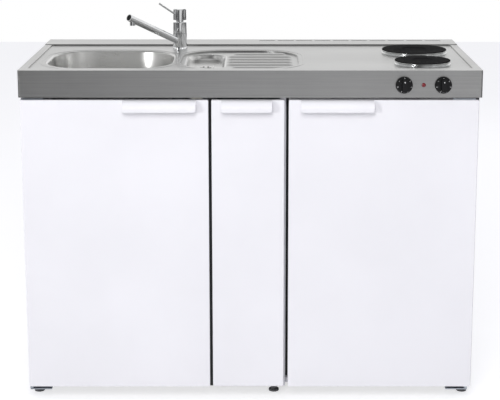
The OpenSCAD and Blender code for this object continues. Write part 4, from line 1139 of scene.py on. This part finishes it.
@dataclass
class Worktop(SubAssembly):
    """Steel worktop with its aprons, the pressed bowl, the drainer with its dish, and the wastes."""

    field_z: float = 0.897
    beads: tuple[Bead, ...] = (
        Bead("bowl_swage", (-0.550, -0.237), (-0.205, 0.101), corner=0.118),
        Bead("tray_swage", (-0.188, -0.237), (0.130, 0.105), corner=0.110))
    strainer: Point = (-0.1215, -0.079, 0.876)
    # rings of the black cup of painted shade under the strainer plate
    well_rings: Rings = ((0.0125, -0.0060), (0.0127, -0.0020), (0.0122, -0.0012))

    def build(self) -> None:
        """Builds and dresses the worktop, its sinks and their wastes."""
        self.add(DishLining().make(), "bowl_steel", "cabinet")
        # painted shade: a black cup under the strainer plate darkens the dish waste's hollow
        shade_well = Bench.turned("strainer_shade_well", self.well_rings, self.strainer)
        self.add(shade_well, "plug_rubber", "cabinet")
        self.skins(
            Skin("worktop", "worktop_steel", width=0.0022, segments=3),
            Skin("sink_bowl", "bowl_steel", width=0.0, sharp=60.0),
            Skin("drainer_tray", "worktop_steel", width=0.0016, segments=3),
            Skin("dish_waste", "waste_steel", width=0.0006),
            Skin("bowl_waste", "waste_steel", width=0.0006),
            Skin("bowl_plug", "plug_rubber", width=0.0008))
        for bead in self.beads:
            self.add(bead.make(self.field_z), "worktop_steel", "cabinet")
        self.skins(
            Skin("waste_pipe", "pipe_plastic", width=0.0),
            Skin("bottle_trap", "pipe_plastic", width=0.0008))


@dataclass
class MixerTap(SubAssembly):
    """Single-lever mixer: body, swivelling spout with its end disc and aerator, and the lever cap."""

    foot: Point = (-0.202, 0.122, 0.897)
    spout_start: float = 0.0225
    spout_length: float = 0.210
    spout_rise: float = 24.0
    spout_turn: float = 226.5
    tip_recess: float = 0.002
    nozzle_back: float = 0.014
    nozzle_drop: float = 0.017
    disc_rings: Rings = ((0.0082, -0.0004), (0.0082, 0.0011), (0.0076, 0.0016), (0.0034, 0.0019),
                         (0.0030, 0.0010), (0.0006, 0.0008))
    aerator_rings: Rings = ((0.0048, 0.0012), (0.0050, -0.0002), (0.0054, -0.0006), (0.0055, 0.0028))
    mesh_rings: Rings = ((0.0046, 0.0006), (0.0046, 0.0016), (0.0030, 0.0019))

    def along(self, distance: float) -> Vector:
        """The point on the spout's axis at a distance from the tap's axis.

        Args:
            distance: The distance along the spout's axis.

        Returns:
            The point.
        """
        rise, turn = math.radians(self.spout_rise), math.radians(self.spout_turn)
        way = Vector((math.cos(rise) * math.cos(turn), math.cos(rise) * math.sin(turn), math.sin(rise)))
        return Vector(self.foot) + Vector((0, 0, self.spout_start)) + way * distance

    def end_disc(self) -> None:
        """Sets the disc with its screw socket in the spout's tip; its black finish is a painted dark
        reflection in place of mirroring chrome.
        """
        way = (self.along(1.0) - self.along(0.0)).normalized()
        face = self.along(self.spout_length - self.tip_recess)
        # black finish: painted reflection, standing for chrome that mirrors dark surroundings
        self.add(Bench.turned("spout_end_disc", self.disc_rings, face, way), "knob_black", "spout")

    def aerator(self) -> None:
        """Sets the aerator with its mesh under the nozzle."""
        low = self.along(self.spout_length - self.nozzle_back) - Vector((0, 0, self.nozzle_drop))
        self.add(Bench.turned("aerator_ring", self.aerator_rings, low), "chrome", "spout")
        self.add(Bench.turned("aerator_mesh", self.mesh_rings, low, steps=32), "waste_steel", "spout")

    def build(self) -> None:
        """Builds and dresses the tap."""
        self.skins(
            Skin("tap_body", "chrome", width=0.0004),
            Skin("spout", "chrome", width=0.0006, sharp=30.0),
            Skin("lever_cap", "chrome"),
            Skin("lever_stem", "stem_brass", width=0.0003),
            Skin("tap_shank_nut", "stem_brass"))
        self.end_disc()
        self.aerator()


@dataclass
class Hob(SubAssembly):
    """Two cast hotplates on their spill rings, two knobs with printed marks and the pilot lamp."""

    plates: tuple[tuple[str, Flat, float], ...] = (
        ("rear_hotplate", (0.459, 0.061), 0.090), ("front_hotplate", (0.459, -0.149), 0.074))
    apron_y: float = -0.288
    knob_z: float = 0.862
    knobs: tuple[tuple[str, float], ...] = (("left_knob", 0.397), ("right_knob", 0.498))
    figures: int = 7
    figure_radius: float = 0.0178
    figure_size: float = 0.0054
    print_depth: float = 0.0002
    skirt_front: float = 0.0096
    grip_front: float = 0.024
    dot_rise: float = 0.0100
    dot_rings: Rings = ((0.0016, -0.0004), (0.0016, 0.0001), (0.0013, 0.0002))
    lamp_x: float = 0.4475
    rim_rings: Rings = ((0.0055, -0.0006), (0.0055, 0.0006), (0.0050, 0.0010))
    lens_rings: Rings = ((0.0044, 0.0006), (0.0045, 0.0016), (0.0038, 0.0028), (0.0022, 0.0036),
                         (0.0006, 0.0040))
    stem_rings: Rings = ((0.0039, -0.0230), (0.0039, 0.0), (0.0030, 0.0004))

    def figure(self, text: str, knob_x: float, turn: float) -> bpy.types.Object:
        """Prints one figure on a knob's skirt.

        Args:
            text: The figure.
            knob_x: The knob's middle.
            turn: Its angle round the knob, from the top, in radians.

        Returns:
            The figure's mesh.
        """
        Bench.only()
        bpy.ops.object.text_add()
        made = bpy.context.object
        made.data.body = text
        made.data.size = self.figure_size
        made.data.extrude = self.print_depth
        made.data.align_x = made.data.align_y = "CENTER"
        made.data.resolution_u = 3
        Bench.only(made)
        bpy.ops.object.convert(target="MESH")
        made = bpy.context.object
        made.rotation_euler = (math.pi / 2, -turn, 0.0)
        made.location = (knob_x - math.sin(turn) * self.figure_radius,
                         self.apron_y - self.skirt_front,
                         self.knob_z + math.cos(turn) * self.figure_radius)
        Bench.settle(made)
        return made

    def knob(self, node: str, x: float, marks: bpy.types.Material) -> None:
        """Makes one knob with its figures and a white dot above its middle.

        Args:
            node: The knob's node.
            x: The knob's middle.
            marks: The finish of its figures and its dot.
        """
        self.skin(Skin(node, "knob_black", width=0.0007, segments=3))
        full_turn = 2 * math.pi
        parts = [self.figure(str(k), x, full_turn * k / self.figures) for k in range(self.figures)]
        dot_place = (x, self.apron_y - self.grip_front, self.knob_z + self.dot_rise)
        parts.append(Bench.turned(f"{node}_dot", self.dot_rings, dot_place, Facing.FRONT, 24))
        self.add(Bench.joined(f"{node}_marks", parts), "knob_black", node, marks)

    def lamp(self) -> None:
        """Makes the pilot lamp: a thin rim and a faceted red lens on its stem."""
        origin = (self.lamp_x, self.apron_y, self.knob_z)
        rim = Bench.turned("lamp_rim", self.rim_rings, origin, Facing.FRONT)
        lens = Bench.turned("lamp_lens", self.lens_rings, origin, Facing.FRONT, steps=8, angle=4.0)
        stem = Bench.turned("lamp_stem", self.stem_rings, origin, Facing.FRONT, steps=32)
        lamp = Bench.joined("pilot_lamp_lens", [lens, rim, stem])
        Bench.fit(lamp, self.shop.finish("lamp_red"), "lamp_red", "cabinet", ("pilot_lamp",))

    def build(self) -> None:
        """Builds and dresses the hob."""
        for node, middle, radius in self.plates:
            iron = CastIron(f"{node}_iron", middle, radius).make()
            self.skin(Skin(node, "hotplate_iron", width=0.0006, segments=3), iron)
        self.skin(Skin("spill_rings", "spill_ring", width=0.0006, segments=3, sharp=25.0))
        marks = PlainMark().make()
        for node, x in self.knobs:
            self.knob(node, x, marks)
        self.lamp()
        self.keep("zinc", "hotplate_clamps")
        self.keep("switch_plastic", "hob_switches", "terminal_box")


@dataclass
class Fronts(SubAssembly):
    """The three hollow fronts with their bent grips, and the pivot plates of the two doors."""

    def build(self) -> None:
        """Builds and dresses the fronts."""
        for node in ("left_door", "pullout_front", "fridge_door"):
            self.skin(Skin(node, "enamel", width=0.0024, segments=3))
        for node in ("left_door_grip", "pullout_grip", "fridge_door_grip"):
            self.skin(Skin(node, "enamel", width=0.0007))
        for node in ("left_door_pivots", "fridge_door_pivots"):
            self.skin(Skin(node, "zinc", width=0.0004))


@dataclass
class Carcass(SubAssembly):
    """Side panels, dividers, floors, back, rails, feet and the magnet catch."""

    sheets: tuple[str, ...] = ("left_side_panel", "right_side_panel", "left_divider", "right_divider",
                               "floor_tray", "fridge_base", "front_rail", "rear_rail")
    # painted shade: dark blocks on the left divider's front edge and in the gap between the right divider
    # and the fridge casing, where the gaps lie in shade
    strips: tuple[tuple[str, Point, Point], ...] = (
        ("fridge_gap_shade", (0.0936, -0.2290, 0.0485), (0.1019, -0.2220, 0.8165)),
        ("divider_edge_shade", (-0.1126, -0.2634, 0.0330), (-0.0974, -0.2630, 0.8250)))

    def build(self) -> None:
        """Builds and dresses the carcass, with dark blocks of painted shade in the gaps beside the
        pull-out front.
        """
        # painted shade: the dark blocks darken the gaps beside the pull-out front
        for name, low, high in self.strips:
            self.add(Bench.block(name, low, high), "plug_rubber", "cabinet")
        for node in self.sheets:
            self.skin(Skin(node, "cabinet_paint", width=0.0006))
        self.skins(
            Skin("back_panel", "back_galvanised", width=0.0003, segments=1),
            Skin("levelling_feet", "foot_plastic", width=0.0010),
            Skin("door_magnet", "switch_plastic", width=0.0006))


@dataclass
class Refrigerator(SubAssembly):
    """Casing, liner, door fittings, freezer box, thermostat, compressor and condenser."""

    def build(self) -> None:
        """Builds and dresses the refrigerator."""
        self.skins(
            Skin("fridge_casing", "casing_paint", width=0.0012),
            Skin("fridge_liner", "liner_plastic", width=0.0030, segments=3),
            Skin("fridge_door_liner", "liner_plastic", width=0.0020, segments=3),
            Skin("door_gasket", "gasket", width=0.0010),
            Skin("door_racks", "clear_plastic", width=0.0006),
            Skin("glass_shelves", "glass"),
            Skin("freezer_box", "evaporator", width=0.0006),
            Skin("freezer_flap", "clear_plastic", width=0.0006),
            Skin("thermostat_housing", "liner_plastic", width=0.0015, segments=3),
            Skin("thermostat_dial", "liner_plastic"),
            Skin("compressor", "black_paint", width=0.0010))
        self.keep("black_paint", "condenser")


@dataclass
class PullOut(SubAssembly):
    """The bottle pull-out: frame, three baskets and the runners."""

    def build(self) -> None:
        """Builds and dresses the pull-out."""
        self.skin(Skin("pullout_frame", "zinc", width=0.0004))
        for node in ("basket_top", "basket_middle", "basket_bottom"):
            self.skin(Skin(node, "basket_wire", width=0.0003, segments=1))
        for node in ("outer_runner", "middle_runner", "inner_runner"):
            self.skin(Skin(node, "zinc", width=0.0003, segments=1))


def main() -> None:
    """Builds the studio and the unit's sub-assemblies in order."""
    logging.basicConfig(level=logging.INFO, format="%(name)s: %(message)s")
    Studio().build()
    shop = Shop()
    for assembly in (Worktop(shop), MixerTap(shop), Hob(shop), Fronts(shop), Carcass(shop),
                     Refrigerator(shop), PullOut(shop)):
        assembly.build()
        LOG.info("%s is built", type(assembly).__name__)


if __name__ == "__main__":
    main()
